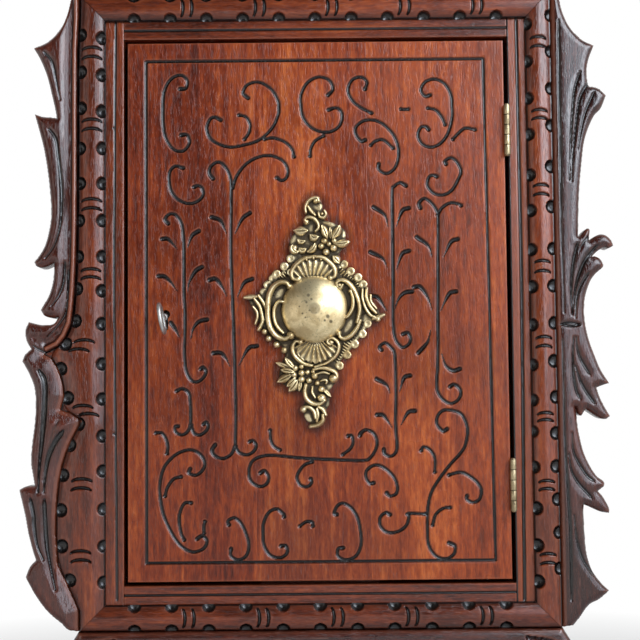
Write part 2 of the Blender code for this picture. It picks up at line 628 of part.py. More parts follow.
def frame_profile(inner, outer):
    """Section of a stile or rail across its width, with the scratched line near its inner edge."""
    middle = inner + SCRATCH_INSET
    return [(inner, BACK_Y), (inner, FACE_Y), (middle - SCRATCH_WIDTH / 2, FACE_Y),
            (middle, FACE_Y + SCRATCH_DEPTH), (middle + SCRATCH_WIDTH / 2, FACE_Y),
            (outer, FACE_Y), (outer, BACK_Y)]


def make_frame():
    upright = frame_profile(OPENING_X, FRAME_X)
    for side, sign in (("left", -1), ("right", 1)):
        section = [(sign * x, y) for x, y in upright]
        slab(f"stile_{side}", corners(section), -FRAME_Z, FRAME_Z, MAHOGANY, "Z")
    level = frame_profile(OPENING_Z, FRAME_Z)
    run = OPENING_X - SEAT
    for end, sign in (("top", 1), ("bottom", -1)):
        section = [(y, sign * z) for z, y in level]
        slab(f"rail_{end}", corners(section), -run, run, MAHOGANY, "X")


def band_section(width):
    """Half-round section of the band: how far across, and how proud, from inner to outer edge."""
    turn = np.linspace(math.pi, 0, BAND_POINTS)
    across = width / 2 * (1 + np.cos(turn))
    proud = BAND_EDGE + (BAND_RISE - BAND_EDGE) * np.sin(turn)
    return [(0, 0), *zip(across, proud), (width, 0)]


def stretched(edge):
    """The carving's heights, drawn for one cabinet, stretched to this one's frame."""
    stretch = 2 * FRAME_Z / CARVING_HEIGHT
    return [(reach * MM, z * MM * stretch) for reach, z in edge]


def make_band(name, sign, edge, phase):
    """An upright band: mitred at both ends, its outer edge following the carving beside it."""
    rings = []
    for reach, z in edge:
        ring = []
        for across, proud in band_section(BAND_WIDTH + reach):
            limit = BAND_IN_Z + across - SEAT
            height = max(-limit, min(limit, z)) if abs(z) < FRAME_Z - SEAT else math.copysign(limit, z)
            ring.append((sign * (BAND_IN_X + across), FACE_Y - SEAT - proud, height))
        rings.append(ring)
    band = loft(name, rings, MAHOGANY, smooth=True)
    heights = np.array([z for _, z in edge])[::-1]
    reaches = np.array([reach for reach, _ in edge])[::-1]
    last = BAND_IN_Z - NOTCH_PITCH / 2
    count = range(int((-last - phase) // NOTCH_PITCH) + 1, int((last - phase) // NOTCH_PITCH) + 1)
    places = []
    for z in (phase + step * NOTCH_PITCH for step in count):
        outer = FRAME_X + np.interp(z, heights, reaches)
        places += [(sign * BAND_IN_X, z), (sign * outer, z)]
    cut_notches(band, places)


def make_level_band(name, sign):
    """The band along the top or bottom rail, mitred into the uprights."""
    rings = []
    for end in (-1, 1):
        rings.append([(end * (BAND_IN_X + across - SEAT), FACE_Y - SEAT - proud,
                       sign * (BAND_IN_Z + across)) for across, proud in band_section(BAND_WIDTH)])
    band = loft(name, rings, MAHOGANY, smooth=True)
    count = int((BAND_IN_X - NOTCH_PITCH / 2) // NOTCH_PITCH)
    steps = [step * NOTCH_PITCH for step in range(-count, count + 1)]
    cut_notches(band, [(x, sign * z) for x in steps for z in (BAND_IN_Z, FRAME_Z)])


def cut_notches(band, places):
    """Scoops the flanks of a band with one cutter made of a ball at each place."""
    bm = bmesh.new()
    for x, z in places:
        centre = Matrix.Translation((x, FACE_Y - NOTCH_PROUD, z))
        bmesh.ops.create_uvsphere(bm, u_segments=NOTCH_SIDES, v_segments=NOTCH_SIDES // 2,
                                  radius=NOTCH_RADIUS, matrix=centre)
    scoops = as_helper(add_object(band.name + "_scoops", bm, MAHOGANY))
    boolean(band, "DIFFERENCE", scoops)


def add_leaves(target, leaves, place, steps=1):
    """Joins crowned leaves to a carved board. place(a, b, proud) puts a point in the cabinet."""
    group = helper_group(target.name + "_leaves")
    for order, (name, sections) in enumerate(leaves.items()):
        root = -LEAF_ROOT - order * LEAF_ROOT_STEP
        rings = []
        for a, b, c, d in smooth_rows(sections, steps) * MM:
            middle = ((a + c) / 2, (b + d) / 2)
            rings.append([place(a, b, root), place(a, b, LEAF_EDGE), place(*middle, LEAF_CROWN),
                          place(c, d, LEAF_EDGE), place(c, d, root)])
        as_helper(loft(f"{target.name}_{name}", rings, MAHOGANY), group)
    boolean(target, "UNION", group=group)


def make_wing(name, sign, band_edge, edge, leaves, fillet_end):
    """A leaf carving beside a stile: a shaped board, a raised fillet along the band, and leaves.

    Where the band swells it lies on this board."""
    stretch = 2 * FRAME_Z / CARVING_HEIGHT

    def place(reach, z, proud):
        return sign * (FRAME_X + reach), FACE_Y - proud, z * stretch

    outer = [(FRAME_X + reach * MM, z * MM * stretch, *tip) for reach, z, *tip in edge]
    inner = corners([(FRAME_X + SEAT, -FRAME_Z), (FRAME_X + SEAT, FRAME_Z)])
    outline = [(sign * x, z, *tip) for x, z, *tip in [*outer, *inner]]
    wing = slab(name, outline, FACE_Y, FACE_Y + CARVING_BACK, MAHOGANY, "Y", steps=2)
    rings = []
    for reach, z in (point for point in band_edge if point[1] >= fillet_end * MM * stretch):
        near = FRAME_X + reach + CARVING_SEAT
        far = near + FILLET_WIDTH
        root, front = FACE_Y + LEAF_ROOT, FACE_Y - FILLET_PROUD
        height = z * (1 - SEAT / FRAME_Z)
        rings.append([(sign * x, y, height)
                      for x, y in ((near, root), (near, front), (far, front), (far, root))])
    fillet = as_helper(loft(name + "_fillet", rings, MAHOGANY))
    boolean(wing, "UNION", fillet)
    add_leaves(wing, leaves, place)


def make_end_board(name, sign, edge, leaves, plume):
    """The crest above the case or the apron below it, alike on both sides of the centre line."""
    stretch = 2 * FRAME_X / CARVING_WIDTH
    base = FRAME_Z + CARVING_SEAT

    def place(x, rise, proud):
        return x * stretch, FACE_Y - proud, sign * (base + rise)

    right = [(x * MM * stretch, sign * (base + rise * MM), *tip) for x, rise, *tip in edge]
    left = [(-x, z, *tip) for x, z, *tip in right[-2::-1]]
    board = slab(name, [*right, *left], FACE_Y, FACE_Y + CARVING_BACK, MAHOGANY, "Y", steps=2)
    both = {"plume": plume}
    for leaf, sections in leaves.items():
        both["right_" + leaf] = sections
        both["left_" + leaf] = [(-a, b, -c, d) for a, b, c, d in sections]
    add_leaves(board, both, place)


def make_carving():
    left_edge, right_edge = stretched(LEFT_BAND_EDGE), stretched(RIGHT_BAND_EDGE)
    make_band("band_left", -1, left_edge, LEFT_NOTCH_PHASE)
    make_band("band_right", 1, right_edge, RIGHT_NOTCH_PHASE)
    make_level_band("band_top", 1)
    make_level_band("band_bottom", -1)
    make_wing("leaf_carving_left", -1, left_edge, LEFT_WING_EDGE, LEFT_LEAVES, LEFT_FILLET_END)
    make_wing("leaf_carving_right", 1, right_edge, RIGHT_WING_EDGE, RIGHT_LEAVES, RIGHT_FILLET_END)
    make_end_board("crest", 1, CREST_EDGE, CREST_LEAVES, CREST_PLUME)
    make_end_board("apron", -1, APRON_EDGE, APRON_LEAVES, APRON_PLUME)


# Door

def keyhole_cutter(name):
    """A round hole for the shank, with a slot below it for the bit."""
    reach = CASE_DEPTH / 2
    hole = bar(name, KEYHOLE_RADIUS, (KEY_X, KEY_Y - reach, KEY_Z), (KEY_X, KEY_Y + reach, KEY_Z), STEEL)
    inner, low = reach - KEYHOLE_MARGIN, KEY_Z - BIT_REACH - KEYHOLE_MARGIN
    slot = box(name + "_slot", (KEY_X - KEYHOLE_SLOT / 2, KEY_Y - inner, low),
               (KEY_X + KEYHOLE_SLOT / 2, KEY_Y + inner, KEY_Z), STEEL)
    boolean(hole, "UNION", as_helper(slot))
    return as_helper(hole)


def make_door():
    wide, high = DOOR_WIDTH / 2, DOOR_HEIGHT / 2
    board = box("door_board", (-wide, DOOR_FRONT_Y, -high), (wide, DOOR_BACK_Y, high), MAHOGANY, True)
    cut_border(board, wide - BORDER_INSET, high - BORDER_INSET)
    boolean(board, "DIFFERENCE", keyhole_cutter("keyhole"))
    pieces = [board]
    for name, sign in (("upper", 1), ("lower", -1)):
        outer = high - CLAMP_END_MARGIN
        zs = sorted((sign * outer, sign * (outer - CLAMP_WIDTH)))
        across = wide - CLAMP_SIDE_MARGIN
        pieces.append(box(f"door_clamp_{name}", (-across, DOOR_BACK_Y + SEAT, zs[0]),
                          (across, DOOR_BACK_Y + SEAT + CLAMP_THICKNESS, zs[1]), CASE_WOOD, True))
    return pieces


def cut_border(board, x, z):
    """The scratched line round the door: a square bar on edge, led round the four sides."""
    side = BORDER_WIDTH / 2
    section = ((-side, 0), (0, -side), (side, 0), (0, side))
    bm = bmesh.new()
    rows = []
    for sx, sz in ((-1, -1), (1, -1), (1, 1), (-1, 1)):
        rows.append([bm.verts.new((sx * (x + out), DOOR_FRONT_Y + deep, sz * (z + out)))
                     for out, deep in section])
    for row, after in zip(rows, [*rows[1:], rows[0]]):
        for here in range(len(row)):
            beside = (here + 1) % len(row)
            bm.faces.new((row[here], row[beside], after[beside], after[here]))
    boolean(board, "DIFFERENCE", as_helper(add_object("door_border_line", bm, MAHOGANY)))


# Hinges

def make_hinges():
    """Two butt hinges. The frame leaf has the odd knuckles and holds the pin."""
    door_leaves, step = [], HINGE_LENGTH / KNUCKLES
    leaf_gap = (DOOR_GAP - 2 * HINGE_LEAF - 2 * SEAT) / 2
    for name, centre in (("upper", HINGE_CENTRE), ("lower", -HINGE_CENTRE)):
        low = centre - HINGE_LENGTH / 2
        bore = as_helper(bar(f"hinge_{name}_bore", BORE_RADIUS, (HINGE_X, HINGE_Y, low - HINGE_LEAF),
                             (HINGE_X, HINGE_Y, low + HINGE_LENGTH + HINGE_LEAF), BRASS, PIN_SIDES))
        for owner, sign, first in (("frame", 1, 0), ("door", -1, 1)):
            xs = sorted((HINGE_X + sign * leaf_gap, HINGE_X + sign * (leaf_gap + HINGE_LEAF)))
            leaf = box(f"hinge_{name}_{owner}_leaf", (xs[0], FACE_Y, low),
                       (xs[1], FACE_Y + HINGE_LEAF_DEPTH, low + HINGE_LENGTH), BRASS)
            group = helper_group(leaf.name + "_knuckles")
            for knuckle in range(first, KNUCKLES, 2):
                start = low + knuckle * step + HINGE_PLAY / 2
                end = start + step - HINGE_PLAY
                as_helper(bar("knuckle", KNUCKLE_RADIUS, (HINGE_X, HINGE_Y, start),
                              (HINGE_X, HINGE_Y, end), BRASS, PIN_SIDES), group)
                as_helper(box("knuckle_root", (xs[0], HINGE_Y, start + SEAT),
                              (xs[1], FACE_Y + HINGE_LEAF, end - SEAT), BRASS), group)
            boolean(leaf, "UNION", group=group)
            boolean(leaf, "DIFFERENCE", bore)
            if owner == "door":
                door_leaves.append(leaf)
        bar(f"hinge_{name}_pin", PIN_RADIUS, (HINGE_X, HINGE_Y, low),
            (HINGE_X, HINGE_Y, low + HINGE_LENGTH), BRASS, PIN_SIDES)
    return door_leaves


# Lock, bolt, keeper and key

def make_lock():
    right = KEY_X + LOCK_BEYOND_KEY
    plate = box("lock_plate", (LOCK_X, PLATE_Y, LOCK_LOW), (right, PLATE_Y + LOCK_WALL, LOCK_HIGH), STEEL)
    boolean(plate, "DIFFERENCE", keyhole_cutter("lock_keyhole"))
    cap_back = CAP_Y + LOCK_DEPTH
    cap = box("lock_case", (LOCK_X, CAP_Y, LOCK_LOW), (right, cap_back, LOCK_HIGH), STEEL, True)
    hollow = box("lock_hollow", (LOCK_X + LOCK_WALL, CAP_Y - LOCK_WALL, LOCK_LOW + LOCK_WALL),
                 (right - LOCK_WALL, cap_back - LOCK_WALL, LOCK_HIGH - LOCK_WALL), STEEL)
    boolean(cap, "DIFFERENCE", as_helper(hollow))
    window = as_helper(box("bolt_window", (LOCK_X - LOCK_WALL, BOLT_Y - LOCK_PLAY, BOLT_Z - LOCK_PLAY),
                           (LOCK_X + 2 * LOCK_WALL, BOLT_Y + BOLT_THICKNESS + LOCK_PLAY,
                            BOLT_Z + BOLT_HEIGHT + LOCK_PLAY / 2), STEEL))
    boolean(cap, "DIFFERENCE", window)
    return [plate, cap]


def make_bolt():
    """The sliding bolt, drawn back, with the notch in its lower edge that the bit catches."""
    bolt = box("lock_bolt", (LOCK_X, BOLT_Y, BOLT_Z),
               (KEY_X + BOLT_TAIL, BOLT_Y + BOLT_THICKNESS, BOLT_Z + BOLT_HEIGHT), STEEL)
    notch = as_helper(box("bolt_notch", (KEY_X - BOLT_NOTCH_LEFT, BOLT_Y - LOCK_WALL, BOLT_Z - LOCK_WALL),
                          (KEY_X + BOLT_NOTCH_RIGHT, BOLT_Y + BOLT_THICKNESS + LOCK_WALL,
                           BOLT_Z + BOLT_NOTCH_HEIGHT), STEEL))
    boolean(bolt, "DIFFERENCE", notch)
    return bolt


def make_keeper():
    """A brass plate on the back of the left stile, which the thrown bolt lies behind."""
    box("lock_keeper", (-OPENING_X - KEEPER_WIDTH, BACK_Y + SEAT, BOLT_Z - KEEPER_MARGIN),
        (-OPENING_X - SEAT, BOLT_Y - LOCK_PLAY, BOLT_Z + BOLT_HEIGHT + KEEPER_MARGIN), BRASS)


def make_key(turned):
    """Shank, collar, ring bow and bit, made along -Y about the origin and put at the keyhole."""
    inward = BIT_DISTANCE + BIT_WIDTH / 2 + SHANK_TAIL
    bow_start = DOOR_THICKNESS / 2 + BOW_STANDOFF
    key = bar("key", SHANK_RADIUS, (0, inward, 0), (0, -bow_start - BOW_RIM / 2, 0), STEEL, PIN_SIDES)
    bow = flat_curve(BOW_THICKNESS, 1)
    turn = np.linspace(0, 2 * math.pi, ROUND_SIDES, endpoint=False)
    for rim in (0, BOW_RIM):
        along, across = BOW_LENGTH / 2 - rim, BOW_HEIGHT / 2 - rim
        add_outline(bow, corners(zip(along * np.cos(turn), across * np.sin(turn))))
    upright = Matrix(((0, 0, 1, 0), (-1, 0, 0, -bow_start - BOW_LENGTH / 2), (0, 1, 0, 0), (0, 0, 0, 1)))
    group = helper_group("key_parts")
    as_helper(from_curve("key_bow", bow, upright, STEEL), group)
    as_helper(bar("key_collar", COLLAR_RADIUS, (0, -bow_start + 2 * COLLAR_LENGTH, 0),
                  (0, -bow_start + COLLAR_LENGTH, 0), STEEL, PIN_SIDES), group)
    as_helper(box("key_bit", (-BIT_THICKNESS / 2, BIT_DISTANCE - BIT_WIDTH / 2, -BIT_REACH),
                  (BIT_THICKNESS / 2, BIT_DISTANCE + BIT_WIDTH / 2, 0), STEEL), group)
    boolean(key, "UNION", group=group)
    for helper in group.objects:
        helper.matrix_world = turned
    key.matrix_world = turned
    return key


# Brass ornament

def on_door(x, z):
    """A point of the ornament, given in millimetres from its centre, as X and Z on the door."""
    return ORNAMENT_X + x * MM, ORNAMENT_Z + z * MM


def make_ornament():
    """A cast rococo ornament: shaped plate, smooth dome, two fluted shells, scrolls and blossoms."""
    back = DOOR_FRONT_Y - SEAT
    front = back - ORNAMENT_PLATE
    outline = [(*on_door(x, z), *tip) for x, z, *tip in ORNAMENT_EDGE]
    plate = slab("door_ornament", outline, front, back, BRASS, "Y", steps=2)
    group = helper_group("ornament_relief")
    middle = (front + back) / 2
    dome = (DOME_WIDTH / 2, DOME_RISE, DOME_HEIGHT / 2)
    as_helper(half_ball("dome", (ORNAMENT_X, middle, ORNAMENT_Z), dome, DOME_SIDES, BRASS), group)
    for x, z, radius in ORNAMENT_BLOSSOMS:
        across, up = on_door(x, z)
        size = (radius * MM, radius * MM * BLOSSOM_RISE, radius * MM)
        as_helper(half_ball("blossom", (across, middle, up), size, BLOSSOM_SIDES, BRASS), group)
    for name, (points, radius) in ORNAMENT_SCROLLS.items():
        as_helper(scroll(name, points, radius * MM, back), group)
    for centre, inner, outer, start, end in ORNAMENT_SHELLS:
        as_helper(shell(on_door(*centre), inner * MM, outer * MM, start, end, middle, front), group)
    boolean(plate, "UNION", group=group)
    return plate


def scroll(name, points, radius, back):
    """A round rib along a smooth line, thinner towards its ends, its underside in the plate."""
    curve = bpy.data.curves.new(name, "CURVE")
    curve.dimensions = "3D"
    curve.bevel_depth = radius
    curve.bevel_resolution = 1
    curve.use_fill_caps = True
    line = [on_door(x, z) for x, z in smooth_rows(points, 2)]
    spline = curve.splines.new("POLY")
    spline.points.add(len(line) - 1)
    fullness = SCROLL_ENDS + (1 - SCROLL_ENDS) * np.sin(np.linspace(0, math.pi, len(line)))
    for point, (x, z), full in zip(spline.points, line, fullness):
        point.co = (x, back - radius - SEAT, z, 1)
        point.radius = full
    return from_curve(name, curve, Matrix(), BRASS, smooth=True)


def shell(centre, inner, outer, start, end, back, front):
    """A fan of flutes: sections turned about a centre, ridges and valleys by turns."""
    rings = []
    for step, angle in enumerate(np.radians(np.linspace(start, end, 2 * SHELL_FLUTES + 1))):
        rise = SHELL_RISE if step % 2 else SHELL_RISE * SHELL_VALLEY
        profile = [(inner, back), (inner, front - rise), ((inner + outer) / 2, front - rise * SHELL_SWELL),
                   (outer, front - rise * SHELL_LIP), (outer, back)]
        rings.append([(centre[0] + r * math.cos(angle), y, centre[1] + r * math.sin(angle))
                      for r, y in profile])
    return loft("shell", rings, BRASS)


# Moving groups

def pivot(name, matrix):
    empty = bpy.data.objects.new(name, None)
    empty.empty_display_size = DOOR_THICKNESS
    CABINET.objects.link(empty)
    empty.matrix_world = matrix
    return empty


def hang(pieces, empty):
    """Parents pieces to an empty on their joint's axis, where they already are."""
    bpy.context.view_layer.update()
    for piece in pieces:
        piece.parent = empty
        piece.matrix_parent_inverse = empty.matrix_world.inverted()


make_case()
make_frame()
make_carving()
make_keeper()
key_place = (Matrix.Translation((KEY_X, KEY_Y, KEY_Z)) @ Matrix.Rotation(KEY_DROOP, 4, "X")
             @ Matrix.Rotation(-KEY_REST_TURN, 4, "Y"))
door_pivot = pivot("door_pivot", Matrix.Translation((HINGE_X, HINGE_Y, 0)))
key_pivot = pivot("key_pivot", key_place)
bolt_guide = pivot("bolt_guide", Matrix.Translation((KEY_X, BOLT_Y, BOLT_Z)))
hang([make_key(key_place)], key_pivot)
hang([make_bolt()], bolt_guide)
hang([*make_door(), *make_hinges(), *make_lock(), make_ornament(), key_pivot, bolt_guide], door_pivot)
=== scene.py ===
# %% [markdown]
# # A carved mahogany wall cabinet
# The cabinet hangs on a wall. Its door is cut with scrolls and leaf sprays, a cast brass ornament sits
# on the door, and a notched band and a border of carved leaves run round it. The imported model gives
# every place, so the first cell loads it, keeps its box and prints it, as the last cell prints the dressed
# cabinet's.

# %% Frame, units and the box of the solids
import math

import bmesh
import bpy
import numpy as np
from mathutils import Matrix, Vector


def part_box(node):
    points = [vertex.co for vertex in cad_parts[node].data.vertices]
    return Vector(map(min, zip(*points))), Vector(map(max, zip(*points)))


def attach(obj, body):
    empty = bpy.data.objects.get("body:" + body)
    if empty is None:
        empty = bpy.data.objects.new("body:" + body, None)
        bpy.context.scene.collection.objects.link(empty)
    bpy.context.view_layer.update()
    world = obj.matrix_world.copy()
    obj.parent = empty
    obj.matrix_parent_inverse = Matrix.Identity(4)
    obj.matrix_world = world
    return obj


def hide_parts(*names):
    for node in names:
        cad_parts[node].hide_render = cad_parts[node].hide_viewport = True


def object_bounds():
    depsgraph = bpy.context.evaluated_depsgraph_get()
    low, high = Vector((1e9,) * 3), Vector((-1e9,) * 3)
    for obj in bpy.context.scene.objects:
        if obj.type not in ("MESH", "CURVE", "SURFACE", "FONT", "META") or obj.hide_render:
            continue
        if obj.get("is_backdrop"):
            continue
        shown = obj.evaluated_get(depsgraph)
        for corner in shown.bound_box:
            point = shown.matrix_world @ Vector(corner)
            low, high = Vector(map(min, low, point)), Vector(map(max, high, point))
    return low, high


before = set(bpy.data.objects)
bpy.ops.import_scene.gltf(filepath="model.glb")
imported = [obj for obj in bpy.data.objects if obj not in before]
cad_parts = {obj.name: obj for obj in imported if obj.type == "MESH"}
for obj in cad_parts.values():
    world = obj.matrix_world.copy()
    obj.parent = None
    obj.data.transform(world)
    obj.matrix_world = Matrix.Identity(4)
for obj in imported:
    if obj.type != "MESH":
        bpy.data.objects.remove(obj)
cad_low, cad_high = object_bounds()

MM = 0.001
scene = bpy.context.scene
scene.view_settings.view_transform = "Standard"


def node_box(node):
    """Lowest and highest corner of a solid, in millimetres."""
    return tuple(np.array(corner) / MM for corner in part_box(node))


door_low, door_high = node_box("door_board")
stile_low, stile_high = node_box("stile_right")
DOOR_FRONT, DOOR_BACK = door_low[1], door_high[1]
FACE, FRAME_BACK = stile_low[1], stile_high[1]
OPENING_X, FRAME_X, FRAME_Z = stile_low[0], stile_high[0], stile_high[2]
OPENING_Z = node_box("rail_top")[0][2]
BAND_WIDTH, BAND_RISE, BAND_EDGE = 25.5, 9.0, 1.2
BAND_IN_X, BAND_IN_Z = FRAME_X - BAND_WIDTH, FRAME_Z - BAND_WIDTH
SEAT = 0.3
print("solids from", [round(v, 3) for v in cad_low], "to", [round(v, 3) for v in cad_high])

# %% [markdown]
# ## The camera comes first
# The photograph was taken from straight in front with a long lens, a little below the middle and
# tipped up, so the uprights spread towards the foot. With the camera known, any pixel of the
# photograph can be followed along its sight line to a plane of the cabinet. That is how the
# listed lines of the carving find their places.

# %% Camera
IMAGE = 640
LENS, SENSOR = 70.0, 36.0
FOCAL = LENS / SENSOR * IMAGE
AIM = np.array([2.25, DOOR_FRONT, -12.0])
DISTANCE, PITCH, ROLL = 1244.0, math.radians(3.3), math.radians(-0.54)
forward = np.array([0, math.cos(PITCH), math.sin(PITCH)])
level_up = np.array([0, -math.sin(PITCH), math.cos(PITCH)])
right = np.array([1.0, 0, 0]) * math.cos(ROLL) + level_up * math.sin(ROLL)
up = level_up * math.cos(ROLL) - np.array([1.0, 0, 0]) * math.sin(ROLL)
eye = AIM - DISTANCE * forward

camera = bpy.data.objects.new("camera", bpy.data.cameras.new("camera"))
scene.collection.objects.link(camera)
camera.data.lens, camera.data.sensor_width = LENS, SENSOR
camera.data.clip_end = 50
turn = np.eye(4)
turn[:3, 0], turn[:3, 1], turn[:3, 2], turn[:3, 3] = right, up, -forward, eye * MM
camera.matrix_world = Matrix(turn.tolist())
scene.camera = camera


def on_plane(spots, y):
    """Where the sight lines of photograph pixels meet the upright plane at depth y.

    A sight line leaves the eye along forward + right (px - middle) / focal - up (py - middle) / focal,
    and is followed until its Y equals y. The result is rows of X and Z in millimetres."""
    spots = np.asarray(spots, float)
    ray = (forward + np.multiply.outer((spots[:, 0] - IMAGE / 2) / FOCAL, right)
           - np.multiply.outer((spots[:, 1] - IMAGE / 2) / FOCAL, up))
    spot = eye + ((y - eye[1]) / ray[:, 1])[:, None] * ray
    return spot[:, [0, 2]]


print("camera stands at", np.round(eye).tolist(), "mm")

# %% [markdown]
# ## Tools for carving
# Carved work is a surface whose height changes over a flat board, so most pieces here are height
# fields: a grid of points across the board, and a formula for how proud each one stands. The edge
# points are slid onto the true outline, so that the silhouette is smooth although the grid is
# square, and a wall and a flat back make it a closed solid.

# %% Lines and outlines from short tables
def table(text):
    """Rows of numbers: commas part the numbers of a row, blanks part the rows."""
    return np.array([row.split(",") for row in text.split()], float)


def hermite(start, end, leave, arrive, steps):
    """Points on cubic spans, each from start to end with the given slopes at its two ends."""
    t = (np.arange(steps) / steps)[:, None, None]
    spans = ((2 * t**3 - 3 * t**2 + 1) * start + (t**3 - 2 * t**2 + t) * leave
             + (3 * t**2 - 2 * t**3) * end + (t**3 - t**2) * arrive)
    return spans.transpose(1, 0, 2).reshape(-1, start.shape[1])


def smooth(points, steps):
    """An open smooth line through points: the slope at each is half the step over its neighbours."""
    points = np.asarray(points, float)
    padded = np.vstack([2 * points[0] - points[1], points, 2 * points[-1] - points[-2]])
    slope = (padded[2:] - padded[:-2]) / 2
    return np.vstack([hermite(points[:-1], points[1:], slope[:-1], slope[1:], steps), points[-1:]])


def outline(text, steps=6):
    """A closed line, smooth but for the points marked with a star, which are sharp tips."""
    sharp = np.array([mark.endswith("*") for mark in text.split()])[:, None]
    knots = table(text.replace("*", ""))
    after, before = np.roll(knots, -1, 0), np.roll(knots, 1, 0)
    middle = (after - before) / 2
    leave = np.where(sharp, after - knots, middle)
    arrive = np.roll(np.where(sharp, knots - before, middle), -1, 0)
    return hermite(knots, after, leave, arrive, steps)


# %% Distances on the grid
def edge_distance(across, height, loop):
    """How far inside a closed outline each grid point lies, below nothing outside it.

    The size is the least distance to any side. A point is inside if a line from it to one side
    crosses the outline an odd number of times."""
    nearest = np.full(across.shape, 1e9)
    inside = np.zeros(across.shape, bool)
    for (ax, az), (bx, bz) in zip(loop, np.roll(loop, -1, 0)):
        dx, dz = bx - ax, bz - az
        px, pz = across - ax, height - az
        share = np.clip((px * dx + pz * dz) / (dx * dx + dz * dz + 1e-12), 0, 1)
        nearest = np.minimum(nearest, (px - share * dx) ** 2 + (pz - share * dz) ** 2)
        if az != bz:
            inside ^= ((az > height) != (bz > height)) & (px < pz / dz * dx)
    return np.where(inside, 1, -1) * np.sqrt(nearest)


def trace(xs, zs, line, reach):
    """Distance from each grid point to a line, and the share of the line passed there.

    Each straight piece only touches the grid points within reach of it."""
    far = np.full((len(xs), len(zs)), reach)
    share = np.zeros_like(far)
    steps = np.hypot(*np.diff(line, axis=0).T)
    passed = np.concatenate([[0], np.cumsum(steps)])
    for (ax, az), (bx, bz), length, start in zip(line, line[1:], steps, passed):
        i = slice(*np.searchsorted(xs, [min(ax, bx) - reach, max(ax, bx) + reach]))
        j = slice(*np.searchsorted(zs, [min(az, bz) - reach, max(az, bz) + reach]))
        px, pz = np.meshgrid(xs[i] - ax, zs[j] - az, indexing="ij")
        dx, dz = (bx - ax) / (length + 1e-9), (bz - az) / (length + 1e-9)
        t = np.clip(px * dx + pz * dz, 0, length)
        off = np.hypot(px - t * dx, pz - t * dz)
        near = off < far[i, j]
        far[i, j] = np.where(near, off, far[i, j])
        share[i, j] = np.where(near, (start + t) / passed[-1], share[i, j])
    return far, share


def ease(value, low, high):
    """0 below low, 1 above high, and a soft step between them."""
    t = np.clip((value - low) / (high - low), 0, 1)
    return t * t * (3 - 2 * t)


def arch(u):
    """Height of a half circle of radius 1 at the distance u from its middle, and nothing beyond it."""
    return np.sqrt(np.clip(1 - u * u, 0, 1))


def round_over(far, radius):
    """How far a quarter-round edge has dropped at a distance inside the rim."""
    return radius * (1 - arch(1 - np.clip(far / radius, 0, 1)))


def blurred(field, steps):
    """The mean of a height field over a square window, found with running sums."""
    for axis in (0, 1):
        width = [(steps + 1, steps) if a == axis else (0, 0) for a in (0, 1)]
        total = np.cumsum(np.pad(field, width, mode="edge"), axis=axis)
        count = field.shape[axis]
        field = (np.take(total, np.arange(2 * steps + 1, 2 * steps + 1 + count), axis)
                 - np.take(total, np.arange(count), axis)) / (2 * steps + 1)
    return field


# %% Objects
# How much lighter or darker than the others each board is. Its place in the table shifts its grain.
# Partly own tone, partly painted light: the door's boards lighten towards the lit right, the left carving is
# lighter as a painted sheen.
TONES_AND_LIGHT = {"door_left_board": -0.12, "door_middle_board": 0.0, "door_right_board": 0.08,
         "stile_left": 0.05, "stile_right": 0.4, "rail_top": 0.0, "rail_bottom": 0.0,
         "band_left": -0.1, "band_right": 0.05, "band_top": 0.0, "band_bottom": 0.0,
         "leaf_carving_left": 0.18, "leaf_carving_right": -0.35, "crest": 0.0, "apron": 0.0}
# How far a rim point may slide, in grid steps, and the least squared slope that it is divided by
RIM_SLIDE, RIM_SLOPE = 1.2, 0.4
METAL_SHARP = 35


def add_piece(name, mesh, body, nodes, material, sharp=50):
    """Puts a mesh into the scene as a piece that rides on a body and stands for solids."""
    mesh.shade_smooth()
    mesh.set_sharp_from_angle(angle=math.radians(sharp))
    mesh.materials.append(material)
    piece = bpy.data.objects.new(name, mesh)
    scene.collection.objects.link(piece)
    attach(piece, body)
    if nodes:
        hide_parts(*nodes)


def wood_marks(name, dark, worn):
    """The marks of a wooden piece: its cuts and painted shade, its wear and painted sheen, the board's number
    from 1 up, and its tone and painted light.
    """
    return {"cut": dark, "wear": worn, "board": np.full(dark.shape, 1.0 + list(TONES_AND_LIGHT).index(name)),
            "tone_and_light": np.full(dark.shape, TONES_AND_LIGHT[name])}


def add_marks(mesh, marks):
    """Stores one number per point under each name, for the materials to read."""
    for name, values in marks.items():
        layer = mesh.attributes.new(name, "FLOAT", "POINT")
        layer.data.foreach_set("value", np.asarray(values, np.float32))


